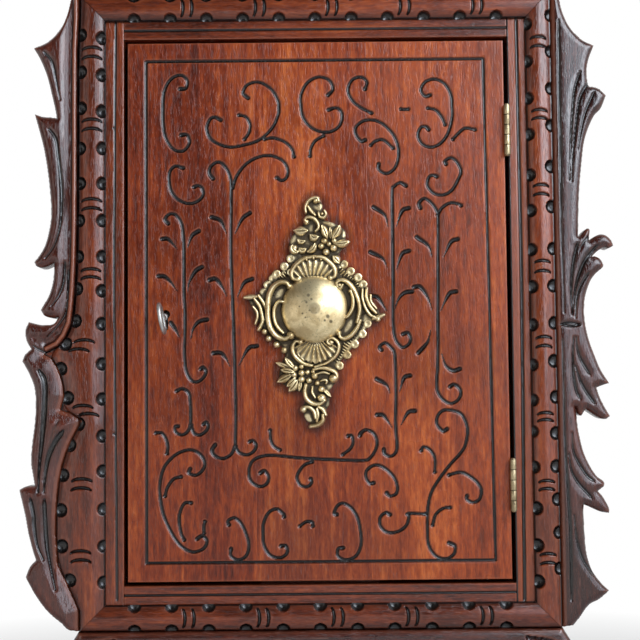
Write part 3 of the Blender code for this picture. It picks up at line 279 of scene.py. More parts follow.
def relief(name, xs, zs, inside, front, back, marks):
    """A carved board as a closed mesh, in millimetres until its points are stored.

    Grid cells whose mean distance inside the outline is above nothing are kept. Each point on their
    rim slides along the slope of that distance until it lies on the outline. Cells that touch only at
    a corner are first joined by a third one. The rim is carried straight back to the plane y = back,
    where a flat face closes the board."""
    across, height = np.meshgrid(xs, zs, indexing="ij")
    keep = (inside[:-1, :-1] + inside[1:, :-1] + inside[:-1, 1:] + inside[1:, 1:]) > 0
    for _ in range(3):
        a, b, c, d = keep[:-1, :-1], keep[1:, :-1], keep[:-1, 1:], keep[1:, 1:]
        keep[:-1, :-1] |= ~a & ~d & b & c
        keep[1:, :-1] |= a & d & ~b & ~c
    around = np.pad(keep, 1).astype(int)
    count = around[:-1, :-1] + around[1:, :-1] + around[:-1, 1:] + around[1:, 1:]
    rim = (count > 0) & (count < 4)
    slope_x, slope_z = np.gradient(inside, xs, zs)
    limit = RIM_SLIDE * np.median(np.diff(xs))
    slide = np.where(rim, np.clip(inside, -limit, limit), 0)
    slide = slide / np.maximum(slope_x**2 + slope_z**2, RIM_SLOPE)
    across, height = across - slide * slope_x, height - slide * slope_z

    used = count > 0
    number = np.cumsum(used.ravel()).reshape(used.shape) - 1
    i, j = np.nonzero(keep)
    quads = np.stack([number[i, j], number[i + 1, j], number[i + 1, j + 1], number[i, j + 1]], 1)
    points = np.stack([across[used], front[used], height[used]], 1)

    beside = np.pad(keep, 1)
    i, j = np.nonzero(beside[:-1, 1:-1] != beside[1:, 1:-1])
    upright = np.stack([number[i, j], number[i, j + 1]], 1)
    i, j = np.nonzero(beside[1:-1, :-1] != beside[1:-1, 1:])
    level = np.stack([number[i, j], number[i + 1, j]], 1)
    rim_edges = np.vstack([upright, level])
    rim_points = np.unique(rim_edges)
    behind = np.zeros(len(points), int)
    behind[rim_points] = len(points) + np.arange(len(rim_points))
    walls = np.hstack([rim_edges, behind[rim_edges[:, ::-1]]])
    rear = points[rim_points].copy()
    rear[:, 1] = back
    marks = {key: np.concatenate([field[used], np.zeros(len(rear))]) for key, field in marks.items()}
    return new_mesh(name, np.vstack([points, rear]), np.vstack([quads, walls]).tolist(), marks,
                    behind[rim_edges])


def face_outwards(mesh, open_edges=()):
    """Fills a flat hole between the given edges and turns all faces outwards. Counts open edges."""
    bm = bmesh.new()
    bm.from_mesh(mesh)
    if len(open_edges):
        bm.verts.ensure_lookup_table()
        edges = [bm.edges.get((bm.verts[a], bm.verts[b])) for a, b in open_edges.tolist()]
        bmesh.ops.triangle_fill(bm, use_beauty=False, use_dissolve=False, edges=edges, normal=(0, 1, 0))
    bmesh.ops.recalc_face_normals(bm, faces=bm.faces)
    loose = sum(not edge.is_manifold for edge in bm.edges)
    bm.to_mesh(mesh)
    bm.free()
    return loose


def new_mesh(name, points, faces, marks, open_edges=()):
    """A closed mesh of points in millimetres, faces and marks. Says how many edges stayed open."""
    mesh = bpy.data.meshes.new(name)
    mesh.from_pydata((points * MM).tolist(), [], faces)
    add_marks(mesh, marks)
    loose = face_outwards(mesh, open_edges)
    print(f"{name}: {len(mesh.polygons)} faces, {loose} open edges")
    return mesh


def grid_mesh(points, marks, ring=False):
    """A tube given as points[u, v], joined up along v and capped at its ends, or joined along u too."""
    rows, columns = points.shape[:2]
    number = np.arange(rows * columns).reshape(rows, columns)
    after_u = np.roll(number, -1, 0) if ring else number[1:]
    here = number if ring else number[:-1]
    quads = np.stack([here, after_u, np.roll(after_u, -1, 1), np.roll(here, -1, 1)], -1)
    faces = quads.reshape(-1, 4).tolist()
    if not ring:
        faces += [number[0].tolist(), number[-1].tolist()]
    return points.reshape(-1, 3), faces, {key: field.ravel() for key, field in marks.items()}


def joined(name, parts):
    """One mesh of several closed shells, each given as points, faces and marks."""
    points = np.vstack([part[0] for part in parts])
    starts = np.cumsum([0] + [len(part[0]) for part in parts])
    faces = [[corner + start for corner in face] for part, start in zip(parts, starts) for face in part[1]]
    marks = {key: np.concatenate([part[2][key] for part in parts]) for key in parts[0][2]}
    return new_mesh(name, points, faces, marks)


def add_metal(name, parts, body, nodes, finish):
    """A metal piece of several closed shells."""
    add_piece(name, joined(name, parts), body, nodes, finish, METAL_SHARP)


# %% [markdown]
# ## Mahogany, brass, steel and softwood
# The wood is old red mahogany under thick dark lacquer. Along the grain it has long soft streaks and
# short open pores, some dark and some pale with dust and a painted sheen. Lacquer pooled in every cut
# and turned nearly black, and hands have rubbed the ridges lighter. Painted maps could show this, but
# nodes on Object coordinates keep the pattern in the wood at any size. Marks that the carving stores on
# its points tell the nodes the rest: cut says where the recesses are black with lacquer and painted
# shade, wear where the ridges are rubbed, with a painted sheen on one fillet, board gives each board a
# grain of its own, and tone makes it lighter or darker, partly as painted light.

# %% Small helpers for node trees
def new_material(name):
    """A new material with its node tree and its main shader."""
    material = bpy.data.materials.new(name)
    material.use_nodes = True
    return material, material.node_tree, material.node_tree.nodes["Principled BSDF"]


def add(tree, kind, inputs=None, **settings):
    """A new node with its settings, its inputs set to values or joined to other sockets."""
    node = tree.nodes.new("ShaderNode" + kind)
    for key, value in settings.items():
        setattr(node, key, value)
    for key, value in (inputs or {}).items():
        if isinstance(value, bpy.types.NodeSocket):
            tree.links.new(value, node.inputs[key])
        else:
            node.inputs[key].default_value = value
    return node


def noise(tree, stretch, offset=None, detail=3.0, roughness=0.5, distortion=0.0):
    """Noise on Object coordinates, stretched by three numbers per metre."""
    place = add(tree, "TexCoord").outputs["Object"]
    spread = add(tree, "Mapping", {"Vector": place, "Scale": stretch})
    inputs = {"Vector": spread.outputs[0], "Scale": 1.0, "Detail": detail, "Roughness": roughness,
              "Distortion": distortion}
    if offset is not None:
        inputs["W"] = offset
    made = add(tree, "TexNoise", inputs, noise_dimensions="4D" if offset is not None else "3D")
    return made.outputs["Fac"]


def ramp(tree, value, *stops):
    """A colour ramp through (place, colour) stops. A single number stands for a grey."""
    made = add(tree, "ValToRGB", {"Fac": value})
    elements = made.color_ramp.elements
    while len(elements) < len(stops):
        elements.new(0.5)
    for element, (place, colour) in zip(elements, stops):
        element.position = place
        element.color = (*(colour if isinstance(colour, tuple) else (colour,) * 3), 1)
    return made.outputs["Color"]


def mix(tree, share, first, second):
    """The second colour laid over the first by a share. Each is a socket or a plain value."""
    made = add(tree, "Mix", data_type="RGBA")
    for socket, value in zip((made.inputs[0], made.inputs[6], made.inputs[7]), (share, first, second)):
        if isinstance(value, bpy.types.NodeSocket):
            tree.links.new(value, socket)
        else:
            socket.default_value = (*value, 1) if isinstance(value, tuple) else value
    return made.outputs[2]


def maths(tree, operation, first, second=0.0, clamp=False):
    """One sum on two numbers or sockets."""
    made = add(tree, "Math", {0: first, 1: second}, operation=operation, use_clamp=clamp)
    return made.outputs[0]


def mark(tree, name):
    """A number that the carving stored on its points."""
    return add(tree, "Attribute", attribute_name=name).outputs["Fac"]


# %% Wood
# Black of the cuts, which also carries painted shade, and pale pores of dust with a painted sheen.
LACQUER_AND_SHADE, DUST_AND_SHEEN = (0.006, 0.004, 0.0035), (0.190, 0.080, 0.060)
RUBBED = (0.40, 0.115, 0.055)
BOARD_SHIFT, CLOUDS, LACQUER_ROUGH, BUMP_DISTANCE = 5.7, (7.0, 7.0, 7.0), (0.22, 0.22, 0.22), 0.0004
# Shares of figure, streaks and flecks in the colour, and where on their sum the four tones lie
FIGURE_SHARE, STREAK_SHARE, FLECK_SHARE, TONE_STOPS = 0.34, 0.34, 0.32, (0.39, 0.465, 0.535, 0.61)
# Noise scales along and across the grain, per metre
WIDE, NARROW, FLECKS, FINE = (2.2, 13.0), (10.0, 190.0), (80.0, 330.0), (120.0, 1200.0)


def wood(name, grain, tones, roughness, shine):
    """Mahogany with its grain along an axis, from dark to light tones, lacquered black in its cuts."""
    material, tree, shader = new_material(name)

    def stretch(pair):
        return tuple(pair[0] if axis == grain else pair[1] for axis in "XYZ")

    board = maths(tree, "MULTIPLY", mark(tree, "board"), BOARD_SHIFT)
    cut, wear, tone_and_light = mark(tree, "cut"), mark(tree, "wear"), mark(tree, "tone_and_light")
    figure = noise(tree, stretch(WIDE), board, 3, 0.55, 0.7)
    streak = noise(tree, stretch(NARROW), board, 5, 0.62)
    mottle = noise(tree, stretch(FLECKS), board, 4, 0.6, 0.3)
    pores = noise(tree, stretch(FINE), board, 1.5, 0.5)
    cloud = noise(tree, CLOUDS, board, 4, 0.6)
    total = maths(tree, "ADD", maths(tree, "MULTIPLY", figure, FIGURE_SHARE),
                  maths(tree, "MULTIPLY", streak, STREAK_SHARE))
    total = maths(tree, "ADD", total, maths(tree, "MULTIPLY", mottle, FLECK_SHARE))
    colour = ramp(tree, total, *zip(TONE_STOPS, tones))
    colour = mix(tree, ramp(tree, cloud, (0.34, 0.5), (0.56, 0.0)), colour, tones[0])
    colour = mix(tree, ramp(tree, pores, (0.60, 0.0), (0.70, 0.5)), colour, tones[0])
    # Pale pores: dust, with a painted sheen laid on them.
    colour = mix(tree, ramp(tree, pores, (0.30, 0.55), (0.41, 0.0)), colour, DUST_AND_SHEEN)
    colour = mix(tree, maths(tree, "MULTIPLY", tone_and_light, 1.0, True), colour, tones[3])
    colour = mix(tree, maths(tree, "MULTIPLY", tone_and_light, -1.0, True), colour, tones[0])
    colour = mix(tree, wear, colour, RUBBED)
    # Painted shade: the cut mark also lays this black in the hollows, beside the long cuts, at band edges and
    # in gaps.
    colour = mix(tree, cut, colour, LACQUER_AND_SHADE)
    tree.links.new(colour, shader.inputs["Base Color"])
    rough = ramp(tree, cloud, (0.3, roughness - 0.07), (0.7, roughness + 0.09))
    rough = mix(tree, cut, rough, LACQUER_ROUGH)
    tree.links.new(rough, shader.inputs["Roughness"])
    grain_height = maths(tree, "SUBTRACT", maths(tree, "MULTIPLY", streak, 0.5),
                         ramp(tree, pores, (0.56, 0.0), (0.68, 0.9)))
    bump = add(tree, "Bump", {"Height": grain_height, "Strength": 0.35, "Distance": BUMP_DISTANCE})
    tree.links.new(bump.outputs[0], shader.inputs["Normal"])
    shader.inputs["Specular IOR Level"].default_value = shine
    return material


RED = ((0.072, 0.010, 0.0040), (0.200, 0.028, 0.0075), (0.345, 0.060, 0.0135), (0.540, 0.126, 0.029))
FRAME = ((0.042, 0.0075, 0.003), (0.130, 0.0205, 0.0056), (0.225, 0.0385, 0.0095), (0.350, 0.075, 0.018))
DARK = ((0.013, 0.0028, 0.0022), (0.047, 0.008, 0.0045), (0.090, 0.016, 0.0078), (0.150, 0.030, 0.014))
PLAIN = ((0.070, 0.020, 0.011), (0.125, 0.038, 0.020), (0.175, 0.058, 0.030), (0.230, 0.083, 0.044))
PINE = ((0.200, 0.110, 0.052), (0.300, 0.180, 0.088), (0.380, 0.235, 0.120), (0.450, 0.290, 0.155))
mahogany_upright = wood("carved_mahogany_upright", "Z", RED, 0.24, 0.34)
frame_upright = wood("frame_mahogany_upright", "Z", FRAME, 0.20, 0.5)
frame_level = wood("frame_mahogany_level", "X", FRAME, 0.20, 0.5)
leaf_upright = wood("leaf_mahogany_upright", "Z", DARK, 0.19, 0.6)
leaf_level = wood("leaf_mahogany_level", "X", DARK, 0.19, 0.6)
case_upright = wood("case_mahogany_upright", "Z", PLAIN, 0.46, 0.4)
case_level = wood("case_mahogany_level", "X", PLAIN, 0.46, 0.4)
case_deep = wood("case_mahogany_deep", "Y", PLAIN, 0.46, 0.4)
softwood = wood("old_softwood", "Z", PINE, 0.62, 0.3)

# %% Metals
PATCHES, SPECKS, SCRATCHES = (60.0, 60.0, 60.0), (420.0, 420.0, 420.0), (900.0, 900.0, 160.0)
RECESS_ROUGH, METALLIC = (0.6, 0.6, 0.6), 0.85


def metal(name, clean, tarnish, recess, roughness, spread):
    """Old metal: clean and tarnished patches, dark recesses, bright rubbed ridges and fine scratches."""
    material, tree, shader = new_material(name)
    cut, wear = mark(tree, "cut"), mark(tree, "wear")
    patch = noise(tree, PATCHES, None, 5, 0.65, 0.4)
    speck = noise(tree, SPECKS, None, 2, 0.5)
    colour = ramp(tree, patch, (0.40, clean), (0.62, tarnish))
    colour = mix(tree, ramp(tree, speck, (0.60, 0.0), (0.72, spread)), colour, recess)
    colour = mix(tree, wear, colour, clean)
    colour = mix(tree, cut, colour, recess)
    tree.links.new(colour, shader.inputs["Base Color"])
    rough = ramp(tree, patch, (0.35, roughness), (0.7, roughness + 0.16))
    rough = mix(tree, cut, rough, RECESS_ROUGH)
    tree.links.new(rough, shader.inputs["Roughness"])
    shader.inputs["Metallic"].default_value = METALLIC
    scratch = noise(tree, SCRATCHES, None, 2, 0.5)
    uneven = maths(tree, "ADD", maths(tree, "MULTIPLY", scratch, 0.35), patch)
    bump = add(tree, "Bump", {"Height": uneven, "Strength": 0.18, "Distance": BUMP_DISTANCE})
    tree.links.new(bump.outputs[0], shader.inputs["Normal"])
    return material


brass = metal("aged_brass", (0.86, 0.70, 0.41), (0.42, 0.29, 0.13), (0.032, 0.023, 0.016), 0.30, 0.55)
dull_brass = metal("dull_brass", (0.46, 0.37, 0.22), (0.24, 0.18, 0.10), (0.030, 0.021, 0.014), 0.36, 0.6)
steel = metal("worn_steel", (0.56, 0.55, 0.53), (0.26, 0.24, 0.22), (0.035, 0.028, 0.022), 0.30, 0.6)
print("finishes:", len(bpy.data.materials))

# %% [markdown]
# ## The door
# Three upright boards are glued edge to edge, and the face is cut with a parting tool: a line all
# round, tall stems with hooked ends, scrolls, and pairs of leaves that start as a round stab and fade
# towards the stem. The lines below were set over the photograph, in its pixels. Each is made
# smooth, carried to the door's face by its sight line, and sunk into the height field as a round
# groove. The lines that leave the photograph end in small scrolls like the others.

# %% The lines of the carving
SCROLLS = [
    "180,89 186,88 187,80 180,75 170,80 164,92 163,107 163,120 164.5,134 169.6,145 175.7,150.5 183,151 "
    "188,146 189.5,141 187,135 181,135",
    "248,98 243,93 247,85 258,82 270,88 277,98 278.8,107 277.8,116 271.6,128.6 259,140 244,145 230,147 "
    "218.6,144 210,138 206.8,128.6 209.4,120 214.5,117 220.6,120",
    "239,115 246,117 250,124.5 248.7,133 244.6,139", "264.5,139 273.7,138 285,142 292,149 294,156.6",
    "213,178.6 209.4,173.5 210.4,167 217.6,162 224.7,166 230,176.5 231,192 231,259 233.4,322 235.5,399 "
    "235.4,441 235,445 231,454.5 222.7,458.6 214.5,455.5 212,450 215,445",
    "235.4,446 239,452.4 247,455 254,451 256,445 253,440.7 249.7,441.7",
    "232.3,188 237,175.5 246,164 258.4,157 270.6,155.6 281.8,160 287.4,168 287,176.5 281.8,180.6 "
    "276.7,177.6",
    "183,168 175.7,166 170,171 169,180.6 171.6,192 178.8,200 189,203.6 198,201 203,195 202,188 198,185.7 "
    "194,187",
    "168,223.5 165,219 169.6,214 175.7,215 180.8,222 183,233 184,259 184,291 185,322 184.4,352 186,370 "
    "191,380 197,382 203,378 206,371.6 203,367.6 200.7,369",
    "176.7,391 181.8,388.7 188,392 190,400 190.5,421 188,431 181.8,435 175.7,432 175,427 177.8,426.4",
    "191,425 194,433 200,435 206,431 208,426 206,422 203.8,424",
    "156,433 161.4,433 165.5,438 167.6,446 167,453.5",
    "190,469 189,473 195,475.4 201,472 204.8,464.7 202,456.5 195,451 186,450.4 174.7,455.5 164.5,466.7 "
    "160,482 160,497 163.5,514.7 170.6,531 180,545 192,552 203,549 207,541 202,536 197,539",
    "180.8,477 173.7,479 167.6,487 165,496", "191,503 185,503 180.8,509.6 179,520 181,533 184,540",
    "204.8,522 203.8,527 204,533",
    "228.8,525 228,521 234,518 240,522 245,531 249,545 246,556 238,560 231,556 231,549",
    "284,516.7 283,513.7 276.7,509 268.6,512.7 263.5,523 263,533 264,545 "
    "270,555 280,558 287,553 286,546 281,546",
    "260.4,473 264.5,471 268.6,477 266.5,484 259.4,486.6 251,481 248.7,472 252,461.6 261.4,456.5 274.7,455.5 "
    "300,458 330.6,459.6 361,460.6 369.4,458.6 375.5,450 377,441 373.5,433 366,430 361,433 360,435.6",
    "270,430.5 270.6,439 273.7,446 279.8,450", "348,436 352,436 353,443 350,449 343,454.5",
    "312,462 305,464.7 300,470 297,477 299.5,484 304,486.6 309,486 311.7,482 310.7,479",
    "373.5,483 369.4,483 366,477 367,470 375.5,465 384.7,468 394,477 397.4,487 396,494 390,496 386.7,493",
    "336.7,514.7 334,512.7 337.8,505.5 344,503.5 352,508.6 358,519 360.7,533 361,545 356,556 346,560 338,556 "
    "338,549 343,548",
    "300,526 306,522 312,522 312.8,526",
    "390,514.7 385.7,512.7 380,518 380.6,526 386.7,532 397,532 406,526 409,516.7 408,513.7 426.5,514",
    "447,429 443,431 437,424 437.8,415.7 443,410.6 450,410 460,413 465,420 467.7,431 465,446 459,455 451,463.7 "
    "440,478 431.6,492 428,507.6 427.6,533 429,546 436,556 446,559 454,554 455,546 449,543",
    "421.4,450.4 423.5,447 429.6,449.4 434.7,457.6 435,472",
    "449,475 460,472.3 468,475 477,482 481.4,490 479.4,499.4 473,502.4 467,499.4 467,496",
    "450,507.6 443,508.6 435.7,514.7 432.7,525",
    "406,185.7 400,182.7 394,186.7 392.3,194 393,259 393,301 393.4,327 396,340 402,347 408,345 410.7,339 "
    "408,333 403,334",
    "420.4,208 419,203 424.5,198.5 431.6,203 436.7,211 438,222 438,311 437.8,362 436.7,383 438,392 443,399.4 "
    "451,403.5 458,400 461,393 459,387.5 454,384.6 450,386.6",
    "437.8,215 441.8,208 450,203 459,204 461,205.5",
    "381.6,350 379.6,347 384.7,343 390.8,347 395,357 396,399 395.4,421 397,446 395,453.5 390,456.5 384.7,453.5 "
    "383.7,449.4",
    "328,95 333,89 329,80 318,77 307,83 301,95 301,107 303,117 310,126.5 320.4,131.6 330.6,131.6 338.8,126.5 "
    "342,118.4 341,111 335.7,107.7 328.6,109.7",
    "310,156 310.7,149 315,141 323.5,135.7", "365,89 367,82 361,77 352,80 348,90 352,100 360,107 371.4,113",
    "365,140 361,141 356,134.7 355.6,127.6 363,121 373.5,120 383.7,124.5 394,135.7 398.5,149 397.4,162 393,170 "
    "385.7,173.5 379,169.4 378.6,164",
    "371,145 375.5,141 383.7,140 393,148",
    "401,109 404.5,109.5 408,109", "428,108 435.7,110 441.8,117 445,124.5",
    "430,95 425,96 421,90 425,82 435,79 445,84 451,95 452,107 452,118 448,133 440.8,143 431.6,147 422.4,144 "
    "418,135.7 420.4,127.6 425.5,126.5 428.6,129.6",
    "474.8,129.6 466,128 460,131.6 453,139",
    "446,164 445,161 451,157.7 457,162 461,171 458,179.6 452,190 443,195 433.7,193 427.6,185.7 428.6,177.6 "
    "432.7,175 436.7,176.5",
]
SPRIGS = [
    "211.4,217 220.6,221 226.7,234", "249.7,213 242,219 235,234", "209.4,280 215.5,279 221.6,286 226.7,296",
    "252,279 244,283 237.4,297", "213.5,353 220.6,353 225.7,358 229.8,366.5", "256.8,346 248,348.7 239,365.5",
    "162,239 167.6,239 173.7,245 177,249.5", "198.7,231 192,235.7 187.4,248",
    "158.4,276 164.5,276.7 170.6,282 177,291",
    "201.7,267 195,271.6 189,283 188,291", "170.6,322.7 175.7,330 179.8,338",
    "206.8,319.6 199,321.6 193,329 191,339",
    "373.5,207 384.7,215 388,226.5", "408.7,208 402,211 396.4,226.5", "370.4,252 382.7,258.4 387,267.6",
    "409,250.7 402,254 396.4,269.6", "371.4,296 378.6,298 386.7,311", "412,291.5 404,293 398,300 395,309.4",
    "416.8,237 428.6,246 432,257", "457.7,239 451,242 443.4,257", "414,287 420.4,287 427.6,297 432,309.4",
    "456,291.5 449,294 440.8,310.4", "418.4,352.8 427.6,342 430.6,330",
    "459.7,369 453,370.6 446,365.5 441.8,354",
    "376.5,379 386.7,385 390,393", "410,375.7 404,378 399.5,392", "377,414.7 383.7,415.7 391.8,427",
    "415,411 408,412.7 401,425",
]
BORDER_RIGHT = "483.5,88 484.3,115 489.3,300 494.5,515 495.8,560"
BORDER_INSET = 18.6
print(len(SCROLLS), "scrolls and stems,", len(SPRIGS), "leaves")

# %% Cutting the lines
SCROLL_HALF, SPRIG_HEAD, SPRIG_TIP, BORDER_HALF = 1.95, 2.6, 0.55, 1.75
GROOVE_DEPTH, GROOVE_REACH = 0.85, 4.2


def groove(xs, zs, line, half):
    """Depth, darkness and rubbed edges of a cut. half gives its half width by the share passed.

    Across the cut, u is the distance over the half width: the floor follows (1 - u^2)^0.7, so the
    walls are steep and the floor is round, and the lacquer starts just inside the walls."""
    far, share = trace(xs, zs, line, GROOVE_REACH)
    u = far / half(share)
    deep = GROOVE_DEPTH * half(share) * np.clip(1 - u * u, 0, 1) ** 0.7
    return deep, 1 - ease(u, 0.72, 1.06), ease(u, 0.95, 1.1) * (1 - ease(u, 1.15, 1.6))


def carve_door(xs, zs):
    """All the cuts of the door's face on one grid: how deep, how dark, and how rubbed beside them."""
    def scroll_half(share):
        ends = np.minimum(share, 1 - share)
        return SCROLL_HALF * (1 + 0.28 * (1 - ease(ends, 0.0, 0.05)))

    def sprig_half(share):
        return SPRIG_HEAD + (SPRIG_TIP - SPRIG_HEAD) * ease(share, 0.12, 1.05)

    def border_half(share):
        return BORDER_HALF + 0 * share

    deep, dark, worn = np.zeros((3, len(xs), len(zs)))
    frame_x, frame_z = door_high[0] - BORDER_INSET, door_high[2] - BORDER_INSET
    upright = on_plane(table(BORDER_RIGHT), DOOR_FRONT)
    upright = np.vstack([[upright[0][0], frame_z], upright[1:-1], [upright[-1][0], -frame_z]])
    border = [np.array([[-frame_x, frame_z], [-frame_x, -frame_z]]), smooth(upright, 6),
              np.array([[-frame_x, frame_z], upright[0]]), np.array([[-frame_x, -frame_z], upright[-1]])]
    lines = [(smooth(on_plane(table(text), DOOR_FRONT), 5), half)
             for group, half in ((SCROLLS, scroll_half), (SPRIGS, sprig_half)) for text in group]
    for line, half in [*lines, *((side, border_half) for side in border)]:
        cut = groove(xs, zs, line, half)
        deep, dark, worn = (np.maximum(old, new) for old, new in zip((deep, dark, worn), cut))
    return deep, dark, worn * (1 - dark)


# %% Where the ornament lies
ORNAMENT_EDGE = """
-69,11* -56,16 -46,28 -36,39 -27,50 -28,64 -22,78 -12,88 -10,102 -5,113 4,114 11,106 10,92* 22,88 33,80
33,64 26,50 36,38 48,27 58,12 69,-6* 60,-14 50,-26 38,-42 26,-56 24,-72 17,-82 16,-95 12,-104 10,-116
0,-119 -11,-112 -15,-100 -11,-86* -24,-82 -38,-72 -37,-54* -32,-42 -44,-31 -54,-20 -62,-6
"""
ORNAMENT_CENTRE = (314.6, 309.0)
cast_back = DOOR_FRONT - SEAT
CAST_PLANE = cast_back - 5
middle_x, middle_z = on_plane([ORNAMENT_CENTRE], CAST_PLANE)[0]
plate_edge = outline(ORNAMENT_EDGE) + [middle_x, middle_z]
print("ornament centre at", round(middle_x, 1), round(middle_z, 1))

# %% The three boards
KEY_X, KEY_Z = -152.0, -5.0
KEYHOLE_RADIUS, KEYHOLE_SLOT, KEYHOLE_LOW = 4.4, 2.5, -20.5
BOARD_JOINTS = (door_low[0], -62.0, 51.0, door_high[0])
DOOR_STEP, ARRIS, JOINT_DROP = 0.9, 0.9, 0.08
NEAR_EDGE, LEAST_GAP = np.array([0.2, 0.5]), 0.12


def even(low, high, step):
    """Evenly spread places from low to high, with two more near each end for the rounded edge."""
    places = np.linspace(low, high, int(round((high - low) / step)) + 1)
    extra = [v for v in (*(low + NEAR_EDGE), *(high - NEAR_EDGE)) if np.abs(places - v).min() > LEAST_GAP]
    return np.sort(np.concatenate([places, extra]))


def keyhole_distance(across, height):
    """Distance to the edge of the keyhole, a round hole over a slot, below nothing inside it."""
    hole = np.hypot(across - KEY_X, height - KEY_Z) - KEYHOLE_RADIUS
    middle = (KEY_Z + KEYHOLE_LOW) / 2
    slot = np.maximum(np.abs(across - KEY_X) - KEYHOLE_SLOT,
                      np.abs(height - middle) - (KEY_Z - KEYHOLE_LOW) / 2)
    return np.minimum(hole, slot)


zs = even(door_low[2], door_high[2], DOOR_STEP)
for side, left, far_right in zip(("left", "middle", "right"), BOARD_JOINTS, BOARD_JOINTS[1:]):
    name = f"door_{side}_board"
    xs = even(left, far_right, DOOR_STEP)
    across, height = np.meshgrid(xs, zs, indexing="ij")
    deep, dark, worn = carve_door(xs, zs)
    # Painted shade with dirt: the door darkens under the ornament and for up to 9 mm round it.
    shade_and_dirt = ease(edge_distance(across, height, plate_edge), -9.0, 1.0)
    dark = np.maximum(dark, 0.6 * shade_and_dirt)
    rim = np.minimum(door_high[0] - np.abs(across), door_high[2] - np.abs(height))
    joint = np.minimum(across - left, far_right - across)
    inside = np.minimum(np.minimum(rim, joint), keyhole_distance(across, height))
    front = DOOR_FRONT + deep + round_over(rim, ARRIS) + JOINT_DROP * (1 - ease(joint, 0.0, 0.5))
    worn = np.maximum(0.8 * worn, 0.7 * (1 - ease(rim, 0.4, 2.4)))
    mesh = relief(name, xs, zs, inside, front, DOOR_BACK, wood_marks(name, dark, 0.55 * worn))
    add_piece(name, mesh, "door", ["door_board"], mahogany_upright)

# %% [markdown]
# ## The face frame
# Two stiles and two rails surround the door. Only a narrow strip of each shows inside the band, with
# one scratched line along it and a few old nail holes. A plain profile carried along the length would
# give the line, but the nail holes need a second direction, so the strips are height fields as well,
# with close grid lines where the detail is and wide ones under the band.

# %% Stiles and rails
SCRATCH_HALF, RIGHT_SCRATCH_HALF, SCRATCH_INSET = 1.5, 2.0, 9.0
LEFT_SCRATCH = "115.6,20 115,115 114.2,300 116.4,515 117,600"
RIGHT_SCRATCH = "516,20 518.1,115 521.8,300 523.9,515 524.8,600"
NAIL_HOLES, NAIL_DEPTH = on_plane(table("521.5,304.5 114,128 114,434"), FACE), 1.6
# Grid of a strip: steps where it shows, how far it goes on under the band, places along and across
STRIP_STEP, STRIP_UNDER, STILE_PLACES, RAIL_PLACES, FEW_PLACES = 0.85, 1.5, 560, 420, 5
STRIP_EASED, STRIP_DROP = np.array([0.2, 0.6]), 0.5


def strip_places(low, high, opening, band, along):
    """Grid places of a strip: a number of even ones along it, or close ones across where it shows."""
    shown = [(opening, band + STRIP_UNDER), (-band - STRIP_UNDER, -opening)]
    shown = [] if along else [np.arange(*ends, STRIP_STEP) for ends in shown]
    places = np.concatenate([np.linspace(low, high, along or FEW_PLACES), *shown, low + STRIP_EASED,
                             high - STRIP_EASED])
    return np.unique(np.round(places[(places >= low) & (places <= high)], 2))


def strip(name, low, high, line, upright, material):
    """A board of the face frame: flat, with one scratched line, nail holes and eased edges.

    The line is sunk by the same round groove as the door's, and a nail hole by a small bowl. The inner
    edge of the right stile, beside the hinges, is painted black as the shade in the gap beside the door."""
    half = RIGHT_SCRATCH_HALF if name == "stile_right" else SCRATCH_HALF
    xs = strip_places(low[0], high[0], OPENING_X, BAND_IN_X, 0 if upright else RAIL_PLACES)
    zs = strip_places(low[1], high[1], OPENING_Z, BAND_IN_Z, STILE_PLACES if upright else 0)
    across, height = np.meshgrid(xs, zs, indexing="ij")
    deep, dark, worn = groove(xs, zs, line, lambda share: half + 0 * share)
    for x, z in NAIL_HOLES:
        bowl = np.hypot(across - x, height - z)
        deep = np.maximum(deep, NAIL_DEPTH * (1 - ease(bowl, 0.6, 1.7)))
        dark = np.maximum(dark, 1 - ease(bowl, 0.9, 1.9))
    rim = np.minimum(np.minimum(across - low[0], high[0] - across),
                     np.minimum(height - low[1], high[1] - height))
    deep = deep + STRIP_DROP * (1 - ease(rim, 0.0, 0.6))
    # Painted shade: the inner edge of the right stile, beside the hinge gap, is laid black.
    if name == "stile_right":
        dark = np.maximum(dark, 1 - ease(across - low[0], 1.0, 1.9))
    worn = np.maximum(0.5 * worn, 0.5 * (1 - ease(rim, 0.3, 2.0))) * (1 - dark)
    marks = wood_marks(name, dark, 0.6 * worn)
    mesh = relief(name, xs, zs, rim, FACE + deep, FRAME_BACK, marks)
    add_piece(name, mesh, "case", [name], material)


for side, text in (("left", LEFT_SCRATCH), ("right", RIGHT_SCRATCH)):
    low, high = ((corner[0], corner[2]) for corner in node_box(f"stile_{side}"))
    line = smooth(on_plane(table(text), FACE), 6)
    strip(f"stile_{side}", low, high, line, True, frame_upright)
for end, sign in (("top", 1), ("bottom", -1)):
    low, high = ((corner[0], corner[2]) for corner in node_box(f"rail_{end}"))
    level = sign * (OPENING_Z + SCRATCH_INSET)
    line = np.array([[low[0], level], [high[0], level]])
    strip(f"rail_{end}", low, high, line, False, frame_level)

# %% [markdown]
# ## The notched band
# A half-round moulding is planted on the frame. Both its edges are scooped with a round gouge, and in
# every second space between the scoops two crescents are struck across it with the same tool. On the
# left the band swells where the carving beside it curls away. It is a surface of two parameters, the
# share of the way across and the share of the way along, mitred at its ends. The rounding on the left
# follows an evened-out width, because the true one would put steps into the sheen, and only a narrow
# margin turns down at the true edge.

